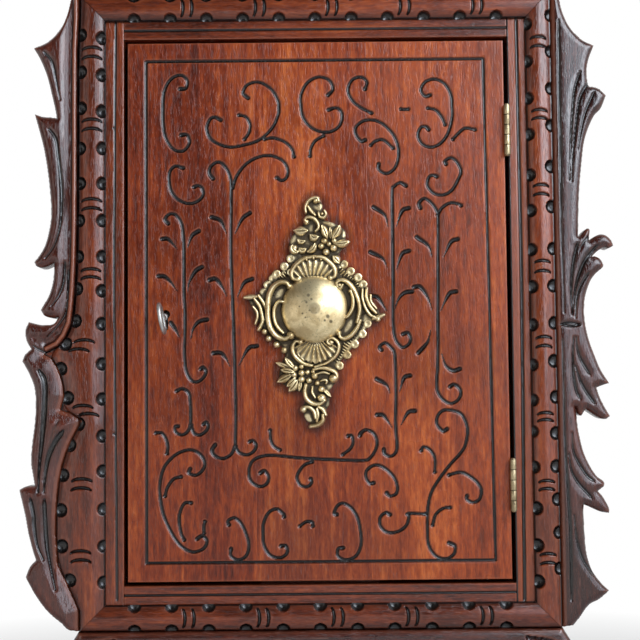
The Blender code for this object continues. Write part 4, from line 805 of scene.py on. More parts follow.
# %% Shape of the band
# Planes where the sight lines of the band's edge, its scoops and its crescents end
EDGE_PLANE, SCOOP_PLANE, CRESCENT_PLANE = FACE - 2, FACE - 3, FACE - 8
LEFT_BAND_SEEN = """
79,108 79,160 78.6,220 77.8,262 76.4,290 74.8,310 73,323.4 67.4,336.8 59.6,346.8 48.5,352.4 44,354 51.8,358
57.4,366.9 61.8,378 64.1,388 64.5,395.9 61.8,405.9 60.9,410 66,411.5 71.9,413 79.7,418.2 81.9,421.5 79.7,424.9
76.3,431.5 70.8,441.6 66.3,452.7 62.3,466.1 59.6,479.5 57.8,495.1 56.7,510.7 56.3,532.8
"""
seen = on_plane(table(LEFT_BAND_SEEN), EDGE_PLANE)
LEFT_BAND_EDGE = np.vstack([table("0,317 0,296 1.5,262"), np.stack([-seen[:, 0] - FRAME_X, seen[:, 1]], 1),
                            table("21,-252 11,-272 0,-296 0,-317")])[::-1]
SCOOP_RADIUS, SCOOP_FLOOR, SCOOP_WALL, SCOOP_POWER, SCOOP_PITCH = 7.2, 0.35, 6.0, 3.8, 36.5
CRESCENT_HALF, CRESCENT_DEPTH, CRESCENT_FLAT, CRESCENT_DROP, OUTER_EDGE = 1.9, 2.4, 0.34, 3.2, 4.4
EVEN_REACH, EDGE_ROUND, BAND_WEAR = 16, 8.0, 0.12
LEFT_SCOOPS = ("103.5,3 103.5,39 103.5,76 103.5,112 104,149 104,184 104,221 104,257 103.6,291 "
               "103.4,324 103.6,364 103.8,399 104,436 104.4,471 104.8,509 105,546 105,582 81,36 81,73 "
               "81,109 80,149 80,184 79,221 78,257 77,289 75.6,321 66,344 61,369 68,398 79,424 70,445 "
               "63,475 61,510 62,546 70,580")
RIGHT_SCOOPS = ("524.2,25 525.0,62 526.0,99 527.0,135 528.0,175.5 529.0,211 529.6,250 530.6,287 530.6,325 "
                "530.6,365 531.1,400 531.0,431.5 532.6,467 535.2,508 536.2,545 537.2,581 550.6,16 551.0,52 "
                "551.2,89 551.5,126 551.0,167 552.0,207 553.5,249 553.5,286 554.6,323 554.2,361 556.2,397 "
                "556.2,433 556.6,466 558.2,499 559.8,532 560.8,568")
LEFT_CRESCENTS = (47.4, 56.6, 119.4, 128.6, 199, 208, 269, 277, 340, 349, 405.5, 413.7, 479, 488, 551, 560)
RIGHT_CRESCENTS = (36, 45, 109, 117, 184, 193, 260, 270, 336, 345, 412, 419, 480, 488, 553, 562)


def notched(across, along, proud, crevice, scoops, crescents):
    """Cuts the scoops and crescents out of a half-round surface, given where they lie.

    The lacquer and a painted shade already lie in the crevice along both edges. A scoop is a bowl with a
    flat floor: with r as the share of its radius, the surface is cut down to floor + wall r^3.8. A crescent
    is a flat arc that is thickest in its middle."""
    dark = crevice.copy()
    for x, z in scoops:
        off = np.hypot(across - x, along - z) / SCOOP_RADIUS
        bowl = SCOOP_FLOOR + SCOOP_WALL * np.clip(off, 0, 1) ** SCOOP_POWER
        proud = np.where(off < 1, np.minimum(proud, bowl), proud)
        dark = np.maximum(dark, 1 - ease(off, 0.93, 1.03))
    for middle, lowest, radius in crescents:
        turn = np.linspace(math.radians(15), math.radians(165), 25)
        rise = radius * CRESCENT_FLAT * np.sin(turn)
        arc = zip(middle + radius * np.cos(turn), lowest + rise, np.sin(turn))
        off = np.min([np.hypot(across - x, along - z) / (CRESCENT_HALF * (0.45 + 0.55 * thick))
                      for x, z, thick in arc], 0)
        proud = proud - CRESCENT_DEPTH * np.clip(1 - off * off, 0, 1) ** 0.8
        dark = np.maximum(dark, 1 - ease(off, 0.7, 1.05))
    return proud, dark


def band_piece(name, across, along, proud, dark, place, material):
    """Closes the half-round surface with a flat back and puts it on the frame.

    place turns (across, along) into X and Z. The rings run from inner edge over the top to the outer
    edge, and two points behind close each ring."""
    worn = ease(proud - blurred(proud, 6), 0.1, 0.9) * (1 - dark)
    across = np.hstack([across, across[:, [-1]], across[:, [0]]])
    along = np.hstack([along, along[:, [-1]], along[:, [0]]])
    behind = np.zeros((len(proud), 2))
    x, z = place(across, along)
    y = FACE - SEAT - np.hstack([np.maximum(proud, 0.15), behind])
    marks = wood_marks(name, np.hstack([dark, behind]), BAND_WEAR * np.hstack([worn, behind]))
    mesh = joined(name, [grid_mesh(np.stack([x, y, z], -1), marks)])
    add_piece(name, mesh, "case", [name], material, sharp=42)


def half_round(share):
    """Height of the band over the share across: an edge, and a half circle drawn out to the rise."""
    return BAND_EDGE + (BAND_RISE - BAND_EDGE) * arch(2 * share - 1)


def edge_lacquer_and_shade(far, wide=1.0):
    """How dark the band is at a distance from its edge: a black line of lacquer, then a painted shade."""
    line, shade = 1 - ease(far, 0.9 * wide, 2.3 * wide), 1 - ease(far, 1.5, 8.0 * wide)
    return np.maximum(line, 0.42 * wide * shade)


# %% Four bands
SIDE_PLACES, END_PLACES, NARROW_PLACES = 900, 680, 44
# Sign, scoops, rows and column of the crescents, their radius, lacquer and painted shade outside, places across
SIDE_BANDS = {"left": (-1, LEFT_SCOOPS, LEFT_CRESCENTS, 91.5, 10.0, 1.0, 75),
              "right": (1, RIGHT_SCOOPS, RIGHT_CRESCENTS, 541.0, 7.8, 0.55, NARROW_PLACES)}
level = np.arange(-FRAME_Z, FRAME_Z + 1)
hann = np.hanning(2 * EVEN_REACH + 1)
for side, (sign, spots, rows, column, radius, outside, places) in SIDE_BANDS.items():
    edge_x, edge_z = LEFT_BAND_EDGE[:, 0] * (sign < 0), LEFT_BAND_EDGE[:, 1]
    steady = np.pad(np.interp(level, edge_z, edge_x), EVEN_REACH, mode="edge")
    steady = np.convolve(steady, hann / hann.sum(), "valid")
    share, run = np.meshgrid(np.linspace(0, 1, places), np.linspace(-1, 1, SIDE_PLACES))
    along = run * (BAND_IN_Z + share * BAND_WIDTH - SEAT)
    width = BAND_WIDTH + np.interp(along, edge_z, edge_x)
    across = share * width
    scoops = on_plane(table(spots), SCOOP_PLANE) * [sign, 1] - [BAND_IN_X, 0]
    cuts = on_plane(np.array([[column, row] for row in rows]), CRESCENT_PLANE)
    crescents = [(BAND_WIDTH / 2 + np.interp(z, edge_z, edge_x) / 2, z - CRESCENT_DROP, radius)
                 for _, z in cuts]
    crevice = np.maximum(edge_lacquer_and_shade(across), edge_lacquer_and_shade(width - across, outside))
    crown = BAND_WIDTH + np.interp(along, level, steady)
    top = half_round(np.clip(across / crown, 0, 1))
    top = np.minimum(top, half_round(np.clip((width - across) / EDGE_ROUND, 0, 1) / 2))
    top = np.where((sign > 0) & (share > 0.5), np.maximum(top, OUTER_EDGE), top)
    proud, dark = notched(across, along, top, crevice, scoops, crescents)
    band_piece(f"band_{side}", across, along, proud, dark,
               lambda a, b: (sign * (BAND_IN_X + a), b), frame_upright)

for end, sign in (("top", 1), ("bottom", -1)):
    share, run = np.meshgrid(np.linspace(0, 1, NARROW_PLACES), np.linspace(-1, 1, END_PLACES))
    across = share * BAND_WIDTH
    along = run * (BAND_IN_X + across - SEAT)
    steps = np.arange(-5, 6) * SCOOP_PITCH
    scoops = [(side, step) for step in steps for side in (0, BAND_WIDTH)]
    crescents = [(BAND_WIDTH / 2, step + shift, 9.0)
                 for step in (steps[1::2] + SCOOP_PITCH / 2) for shift in (-8, 1)]
    crevice = edge_lacquer_and_shade(np.minimum(across, BAND_WIDTH - across))
    proud, dark = notched(across, along, half_round(share), crevice, scoops, crescents)
    band_piece(f"band_{end}", across, along, proud, dark,
               lambda a, b: (b, sign * (BAND_IN_Z + a)), frame_level)

# %% [markdown]
# ## Carved leaves
# Long curling leaves grow along both sides, and the same leaves make the crest above and the apron
# below. A carver first saws the outline, then sets in each leaf with a deep line along its edge, and
# last rounds it over with a gouge. The model follows that order: the outline is a closed line, each
# leaf is a strip between two edges with a rounded height across it, and where leaves meet the height
# falls into a black line.

# %% Outlines and leaves, in millimetres outwards from the frame and up
LEFT_WING_EDGE = """
10,317* 14,300 21,284 33,270 47,263* 40,250 33,232 28,212 25,199 23.5,190* 31,191 38,191.5 45.5,194*
41,178 36,158 32,133 29.5,108 29,93 31,78 35,63 40.5,53 46,46* 43,41.5 36,40.5 26,45* 27,28 31,13 37,2.5
39.6,-2* 35,-8 27,-10 21.5,-9* 27,-16 37.5,-17 46,-15.5 51.5,-14* 55,-23 53.5,-33 49,-41* 55,-46.5
58,-53* 54,-60 50,-68 46,-79 44.5,-95 45.5,-115 48,-135 49.3,-153 47.7,-165 45.5,-178* 54,-178.5
61,-182* 58,-195 55,-208 52,-225 48,-240 44,-251* 50,-257 54,-266* 44,-282 31,-298 18,-309 10,-317*
"""
RIGHT_WING_EDGE = """
10,317* 13,300 20,283 31,270 44,263* 38,248 36,234 38,222* 47,220 55,213* 49.5,200 43,193 37,181 32.2,166
29.6,147 27.3,126 25.9,106 25.2,88 24.6,72* 27,73 30.6,77.2 33.9,79.9* 36.2,78.3 35.3,67.5* 38.4,69.7
42.8,72.5 48.4,73.9 53.8,71.8 57.8,67.4 59.8,62.5* 55,60 50.4,60.8 44.7,57.8 40.6,54.2 37.9,51.3* 41.2,51.8
45.7,49.7 48.5,45.8 49.6,42.4* 48,40 44.8,37.5 40.5,33.5 36.6,28 33.2,20 30.6,11 29.6,2 29.5,-7 31,-20 34.3,-34
39.3,-48 45,-62 53.2,-75* 46.7,-77 40.5,-79.5* 43,-88 48,-98.5 53.5,-108* 49,-111 43,-110 36,-105.7 29,-101*
24.6,-108* 20.6,-105 19,-99* 20,-108 21.6,-123 26,-143 32.4,-158 39,-168 46,-173.5 46.5,-178* 40,-183* 45,-189
50.6,-199.5 51,-205* 42,-203.6 33,-199.6 25.5,-196.5* 25.3,-206 26,-225 27.5,-246 32,-262 40,-274 48,-282*
38,-290 27,-296 18,-308 10,-317*
"""
CREST_EDGE = """
238,0* 247,14 258,26 272,35* 258,42 242,44 228,40* 233,54 239,69* 222,66 206,58 194,51* 188,66 181,86*
168,77 152,73* 149,92 140,114* 126,101 111,97* 105,118 92,137* 80,121 64,116* 52,124 38,120 30,106
33,92* 25,98 22,116 29,134 25,150 12,160 7,173 0,188*
"""
CREST_LEAVES = {
    "corner": "196,10,206,30 222,12,224,36 246,20,244,41 269,35,268,37",
    "first": "186,24,176,34 205,30,192,46 224,42,212,58 237,66,235,67",
    "second": "158,22,142,30 170,40,150,56 180,60,166,73 181,83,179,83",
    "third": "118,30,100,36 132,56,108,70 143,82,124,98 141,110,139,111",
    "fourth": "76,40,58,46 92,72,64,84 100,104,78,116 93,133,91,133",
    "volute": "34,36,24,40 54,60,42,66 60,90,46,92 50,118,42,106 36,112,35,108",
}
CREST_PLUME = """
-16,30,16,30 -18,90,18,90 -22,122,22,122 -16,148,16,148 -3,180,3,180
"""
APRON_EDGE = """
238,0* 246,13 255,27 266,40* 250,41 236,36* 229,50 216,62* 204,51 190,46* 172,59 152,65 134,57 123,44*
112,58 97,76* 88,63 74,57* 61,76 44,98* 38,85 28,79* 23,100 14,117 0,132*
"""
APRON_LEAVES = {
    "corner": "202,8,206,24 226,12,224,32 246,22,244,38 263,39,262,40",
    "first": "196,18,174,27 212,28,191,40 224,42,204,48 217,59,215,59",
    "lobe": "172,14,150,14 180,34,162,32 172,54,160,46 152,62,148,50 132,53,134,48",
    "third": "116,16,92,20 118,36,84,40 110,56,90,60 97.5,73,96,73",
    "fourth": "76,20,46,24 74,46,34,50 60,72,36,78 45,94,43.5,94",
}
APRON_PLUME = """
-18,22,18,22 -22,60,22,60 -20,92,20,92 -12,114,12,114 -2,126,2,126
"""

# %% Laying one leaf on the grid
LEAF_GROUND, LEAF_SWELL, LEAF_EDGE, LEAF_CROWN, UNDER_BAND = 2.4, 3.8, 1.0, 7.0, -0.5
CUSHION, BOARD_ROUND, CUT_SHARE, FILLET_WEAR_AND_SHEEN, LEAF_PLANE = 7.0, 2.6, 0.9, 0.5, FACE - 5
# The bead: its foot and rise, and its middle and half width as shares of the fillet
BEAD_FOOT, BEAD_RISE, BEAD_MIDDLE, BEAD_HALF = 2.2, 3.6, 0.54, 0.37
CARVING_BACK, FILLET_WIDTH, COVE_WIDTH, WING_STEP, HOOK_FOOT = 18.0, 7.2, 11.0, 0.62, -42.5


def scatter(xs, zs, x, z, values):
    """Means of scattered samples at the grid points round them, and how much weight each point got.

    A sample shares its weight over the four points of its cell, more to the nearer ones."""
    i = (x - xs[0]) / (xs[1] - xs[0])
    j = (z - zs[0]) / (zs[1] - zs[0])
    weight, sums = np.zeros(len(xs) * len(zs)), np.zeros((len(values), len(xs) * len(zs)))
    for di in (0, 1):
        for dj in (0, 1):
            a, b = np.floor(i).astype(int) + di, np.floor(j).astype(int) + dj
            w = (1 - np.abs(i - a)) * (1 - np.abs(j - b))
            ok = (a >= 0) & (a < len(xs)) & (b >= 0) & (b < len(zs))
            spot = (a * len(zs) + b)[ok]
            weight += np.bincount(spot, w[ok], len(weight))
            sums += [np.bincount(spot, (w * value)[ok], len(weight)) for value in values]
    return weight.reshape(len(xs), -1), (sums / np.maximum(weight, 1e-9)).reshape(len(values), len(xs), -1)


def lay_leaf(xs, zs, proud, dark, sections):
    """Puts one leaf on the board: its sections are made smooth, and t runs from edge to edge.

    The height is a rounded back, 1 - |t|^2.4, that sinks to a deep line at both edges and slopes off
    towards the root and the tip. A shallow hollow beside the middle gives it a spine."""
    rows = smooth(table(sections), 14)
    length = np.hypot(*np.diff((rows[:, :2] + rows[:, 2:]) / 2, axis=0).T).sum()
    wide = np.hypot(*(rows[:, :2] - rows[:, 2:]).T).max()
    step = (xs[1] - xs[0]) * 0.4
    s = np.linspace(0, 1, int(length / step) + 2)
    t = np.linspace(-1, 1, int(wide / step) + 2)
    along = np.stack([np.interp(s, np.linspace(0, 1, len(rows)), column) for column in rows.T], 1)
    share = ((1 + t) / 2)[:, None]
    spot = along[:, None, :2] * (1 - share) + along[:, None, 2:] * share
    across, passed = np.broadcast_arrays(t[None], s[:, None])
    weight, (side, way) = scatter(xs, zs, spot[..., 0].ravel(), spot[..., 1].ravel(),
                                  [across.ravel(), passed.ravel()])
    on = weight > 0.35 * np.median(weight[weight > 0])
    u = np.abs(side)
    ends = 0.55 + 0.45 * ease(way, 0.0, 0.22) * (1 - 0.6 * ease(way, 0.75, 1.0))
    spine = 0.5 * np.exp(-((side + 0.25) / 0.22) ** 2)
    height = LEAF_EDGE + (LEAF_CROWN - LEAF_EDGE) * (1 - u**2.4) * ends - spine
    return np.where(on, height, proud), np.where(on, ease(u, 0.86, 0.99), dark)


def carved_board(name, xs, zs, loop, leaves, lines, place, material, border=None):
    """A board sawn to an outline, rounded over to its edges, with leaves and long cuts worked into it.

    With b as the distance to the outline, the ground rises as 1 - (1 - b / 7)^2, like a cushion. A long
    cut is a narrow black groove in the middle of a wide shallow hollow, and tapers to its end. Along
    part of the border with the band runs a bead, a half circle across, and beside it the ground is a
    cove that climbs with the square of the distance. Elsewhere it is a plain slope. border gives that
    line, the share of it where the bead starts, and the lowest point and width of the slope."""
    across, height = np.meshgrid(xs, zs, indexing="ij")
    inside = edge_distance(across, height, loop)
    dark, rubbed_and_sheen = np.zeros((2, *across.shape))
    rise = 1 - (1 - np.clip(inside / CUSHION, 0, 1)) ** 2
    if border is not None:
        border, beaded, lowest, slope = border
        gap, passed = trace(xs, zs, border, 22.0)
        free = across > np.interp(height, border[:, 1], border[:, 0])
        bead = (passed > beaded) & (gap < FILLET_WIDTH) & free
        away = gap - FILLET_WIDTH * (passed > beaded)
        cove = np.clip(away / COVE_WIDTH, 0, 1) ** 2
        plain = lowest + (1 - lowest) * np.clip(away / slope, 0, 1)
        rise = blurred(np.minimum(rise, np.where(passed > beaded, cove, plain)), 2)
    proud = LEAF_GROUND + LEAF_SWELL * rise
    for sections in leaves:
        proud, dark = lay_leaf(xs, zs, proud, dark, sections)
    for line, half, deep, hollow in lines:
        far, share = trace(xs, zs, line, 4.5 * half)
        taper = half * (1 - 0.7 * ease(share, 0.35, 1.0)) * (0.5 + 0.5 * ease(share, 0.0, 0.06))
        u = far / taper
        proud = proud - deep * np.clip(1 - u * u, 0, 1) ** 0.8
        proud = proud - hollow * np.exp(-((far / (2.6 * taper)) ** 2))
        # A black core of lacquer in the cut, and beside it a painted shade that fades out over about twice its
        # half width.
        lacquer_and_shade = np.maximum(1 - ease(u, 0.8, 1.25), 0.55 * np.exp(-((u / 2.2) ** 2)))
        dark = np.maximum(dark, np.clip(deep, 0, 1) * lacquer_and_shade)
    if border is not None:
        u = np.abs(gap - FILLET_WIDTH * BEAD_MIDDLE) / (FILLET_WIDTH * BEAD_HALF)
        proud = np.where(bead, BEAD_FOOT + BEAD_RISE * arch(u), proud)
        dark = np.where(bead, ease(u, 0.93, 1.08), dark)
        # Wear and a painted sheen: where there is no bead, the fillet beside the band is laid in the lighter
        # rubbed colour.
        fillet = np.where(passed > beaded, 0, FILLET_WEAR_AND_SHEEN * (1 - ease(gap, 3.2, 5.0)))
        rubbed_and_sheen = np.where(bead, 1 - ease(u, 0.4, 0.9), fillet)
        proud = np.where(free, proud, UNDER_BAND)
    proud = blurred(proud, 1) - round_over(inside, BOARD_ROUND)
    dark = dark * ease(inside, 0.0, 1.6)
    hollow = blurred(proud, 4) - proud
    worn = np.maximum(ease(-hollow, 0.25, 1.2), 0.25 * (1 - ease(inside, 0.8, 2.6)))
    worn = np.maximum(0.4 * worn, rubbed_and_sheen) * (1 - dark)
    # Painted shade: the carving darkens in its hollows, by how far it lies below the mean height round it.
    dark = np.maximum(dark, 0.7 * ease(hollow, 0.35, 1.4))
    marks = wood_marks(name, dark, 0.6 * worn)
    mesh = relief(name, xs, zs, inside, FACE - proud, FACE + CARVING_BACK, marks)
    points = np.zeros(len(mesh.vertices) * 3)
    mesh.vertices.foreach_get("co", points)
    points = points.reshape(-1, 3) / MM
    points[:, 0], points[:, 2] = place(points[:, 0], points[:, 2])
    mesh.vertices.foreach_set("co", (points * MM).ravel())
    face_outwards(mesh)
    add_piece(name, mesh, "case", [name], material, sharp=48)


# %% The two sides
# Long cuts of the sides by pixels of the photograph, with half width, depth and hollow in millimetres
LEFT_CUTS = {
    "upper_leaf": (1.9, 1.8, 1.0,
        "49.2,129.3 55.6,138.9 58,154.8 60.4,178.7 61.2,202.6 59.6,226.5 54,245.6 45.3,258.3"),
    "hook": (2.6, 0.0, 1.8, "33,338 40,342 48,341 56,334"),
    "top_leaf": (1.5, 1.5, 0.8, "44,52 52,62 56,80 60,100"),
    "middle_leaf": (1.4, 1.5, 0.8, "64.4,262 62.8,282.2 58,296.5 51.6,306.1"),
    "stem": (1.3, 1.4, 0.8, "67.6,270 67.4,298.1 64.6,314 56,327 46.9,337.1"),
    "hook_foot": (1.6, 1.6, 0.6, "69.2,338.7 61.2,348.2 50,353 38.9,349.8 33,346"),
    "outer_leaf": (3.2, 2.4, 0.8, "38.9,370.5 44.5,381.7 44.5,405.6 42.1,437.4 38.9,469.3 38.1,492"),
    "inner_leaf": (3.0, 2.2, 0.5, "62.8,431 54.8,442.2 48.5,456.5 45.3,474.1 43.7,492"),
    "overlap": (1.0, 0.5, 0.7, "59,420 53,430 49.5,443 45.5,462 42,482"),
    "lower_leaf": (2.2, 1.8, 1.2, "30.1,499 33.3,513.9 34.1,526.6 37,545 43,560"),
    "lower_frond": (2.4, 1.8, 1.2, "44,500 45,525 47,550 51,572 55,590"),
}
RIGHT_CUTS = {
    "top_a": (1.4, 1.5, 0.7, "580,72 574.5,90 572.8,107 571.2,130.9 570.4,154.8 568.8,180"),
    "top_b": (1.5, 1.6, 0.8, "590,80 581,95 577.6,110 574.4,138.9 572.3,159.6 571.5,181"),
    "top_c": (1.2, 1.3, 0.6, "594,92 585.5,111.8 580.8,130.9 577.6,150"),
    "flame_a": (1.7, 1.8, 0.7, "577.6,243 573.6,259.9 571.5,279 571.2,298.1 572.5,315"),
    "flame_b": (1.8, 1.9, 1.0, "597,245.5 585.5,259.9 579.2,274.3 575.2,290.2 572.8,313"),
    "flame_c": (1.3, 1.3, 0.7, "588.7,272.7 580.8,285.4 576.8,298.1 575.2,317.3"),
    "flame_d": (1.0, 1.0, 0.5, "589,236 583,243 579,252"),
    "tie_upper": (1.5, 1.8, 0.4, "561,324.4 566,323.4 571,323 576,323.4 580,324.4"),
    "tie_lower": (1.5, 1.8, 0.4, "580,324.4 575,325.6 570,325.9 565,325.6 561,324.4"),
    "third_a": (1.6, 1.7, 0.7, "580,398.5 576,389.6 573.6,373.7 572.8,354.6 573.6,337"),
    "third_b": (1.5, 1.6, 0.8, "589.5,374 580.8,359.4 576.8,346.6 576,337"),
    "third_c": (1.6, 1.7, 0.9, "594.5,403 587.1,392.8 580.8,381.7 575.2,365.8"),
    "fifth_a": (1.5, 1.6, 0.8, "594,481 587.1,475.7 577.6,461.3 572.8,448.6 572,432.7"),
    "fifth_b": (1.6, 1.7, 0.9, "591.5,497.5 577.6,482 571.2,469.3 568.8,453.4"),
    "foot": (1.4, 1.4, 0.7, "594,575 583,560 577,540 574,515"),
    "inner_upper": (1.6, 1.6, 0.2,
        "558.4,20 558.8,60 559.2,107 560.4,138.9 560.8,186.6 561.3,234.4 562.9,274.3 564,313"),
    "inner_lower": (1.6, 1.6, 0.2,
        "571.5,600 570.4,533 568,493.2 565.6,453.4 564.3,421.5 563.7,389.6 562.9,365.8 562.4,340"),
}
zs = np.arange(-FRAME_Z, FRAME_Z + 0.01, WING_STEP)
zs = np.linspace(-FRAME_Z, FRAME_Z, len(zs))


# How the outlines were read: row of height zero, columns of the frame's edges, lean of the right one
LEVEL_ROW, LEFT_COLUMN, RIGHT_COLUMN, LEAN, LEAN_ROW = 308, 80, 555, 0.0175, 315
FADE_HEIGHTS = 225, 300


def as_seen(loop, sign):
    """Moves an outline that was read as if the photograph were level to where its pixels really lie.

    Each point goes back to its pixel and from there along its sight line to the face. Beyond the edges
    of the picture, this fades out."""
    row = LEVEL_ROW - loop[:, 1]
    lean = LEAN * (row - LEAN_ROW)
    column = LEFT_COLUMN - loop[:, 0] if sign < 0 else RIGHT_COLUMN + loop[:, 0] + lean
    spot = on_plane(np.stack([column, row], 1), EDGE_PLANE) * [sign, 1] - [FRAME_X, 0]
    share = ease(np.abs(loop[:, 1]), *FADE_HEIGHTS)[:, None]
    return loop * share + spot * (1 - share)


# Sign, outline, cuts, and the lowest point and width of the slope beside the band
WINGS = {"left": (-1, LEFT_WING_EDGE, LEFT_CUTS, 0.0, 14.5),
         "right": (1, RIGHT_WING_EDGE, RIGHT_CUTS, 0.55, 1.6)}
for side, (sign, edge_text, cuts, lowest, slope) in WINGS.items():
    loop = np.vstack([as_seen(outline(edge_text)[:-6], sign), [[SEAT, -FRAME_Z], [SEAT, FRAME_Z]]])
    xs = np.arange(0, loop[:, 0].max() + 2, WING_STEP)
    lines = []
    for half, deep, hollow, text in cuts.values():
        spots = on_plane(table(text), LEAF_PLANE) * [sign, 1] - [FRAME_X, 0]
        lines.append((smooth(spots, 6), CUT_SHARE * half, deep, hollow))
    line = LEFT_BAND_EDGE if sign < 0 else np.array([[0, -FRAME_Z], [0, FRAME_Z]])
    line = line + [2 * SEAT, 0]
    steps = np.concatenate([[0], np.cumsum(np.hypot(*np.diff(line, axis=0).T))])
    beaded = np.interp(HOOK_FOOT, line[:, 1], steps / steps[-1]) if sign < 0 else 2.0
    carved_board(f"leaf_carving_{side}", xs, zs, loop, [], lines,
                 lambda reach, z: (sign * (FRAME_X + reach), z), leaf_upright, (line, beaded, lowest, slope))

# %% Crest and apron
END_STEP, END_SEAT, END_HALF = 0.9, 0.02, 276
base = FRAME_Z + END_SEAT
for name, sign, edge_text, leaves, plume in (("crest", 1, CREST_EDGE, CREST_LEAVES, CREST_PLUME),
                                             ("apron", -1, APRON_EDGE, APRON_LEAVES, APRON_PLUME)):
    mirrored = " ".join("-" + point for point in edge_text.split()[-2::-1])
    loop = outline(edge_text + " " + mirrored)
    xs = np.linspace(-END_HALF, END_HALF, int(2 * END_HALF / END_STEP) + 1)
    zs = np.arange(0, loop[:, 1].max() + 2, END_STEP)
    both = [plume]
    for sections in leaves.values():
        rows = table(sections) * [-1, 1, -1, 1]
        both += [sections, " ".join(",".join(f"{v:g}" for v in row) for row in rows)]
    carved_board(name, xs, zs, loop, both, [],
                 lambda x, rise: (x, sign * (base + rise)), leaf_level)

# %% [markdown]
# ## The brass ornament
# The ornament is one casting: a smooth egg-shaped dome in a frame of C-scrolls, a fluted shell above and
# below it, bunches of flowers, and tips of flame. Castings like this were modelled in wax as rolls and
# beads laid on a plate, and that is how it is built here: every roll is a rib whose height falls off
# across it as a half circle, every bead is a ball, and the highest one at each point of the grid wins.
# The hollows between them were never polished, so they are marked as dark.

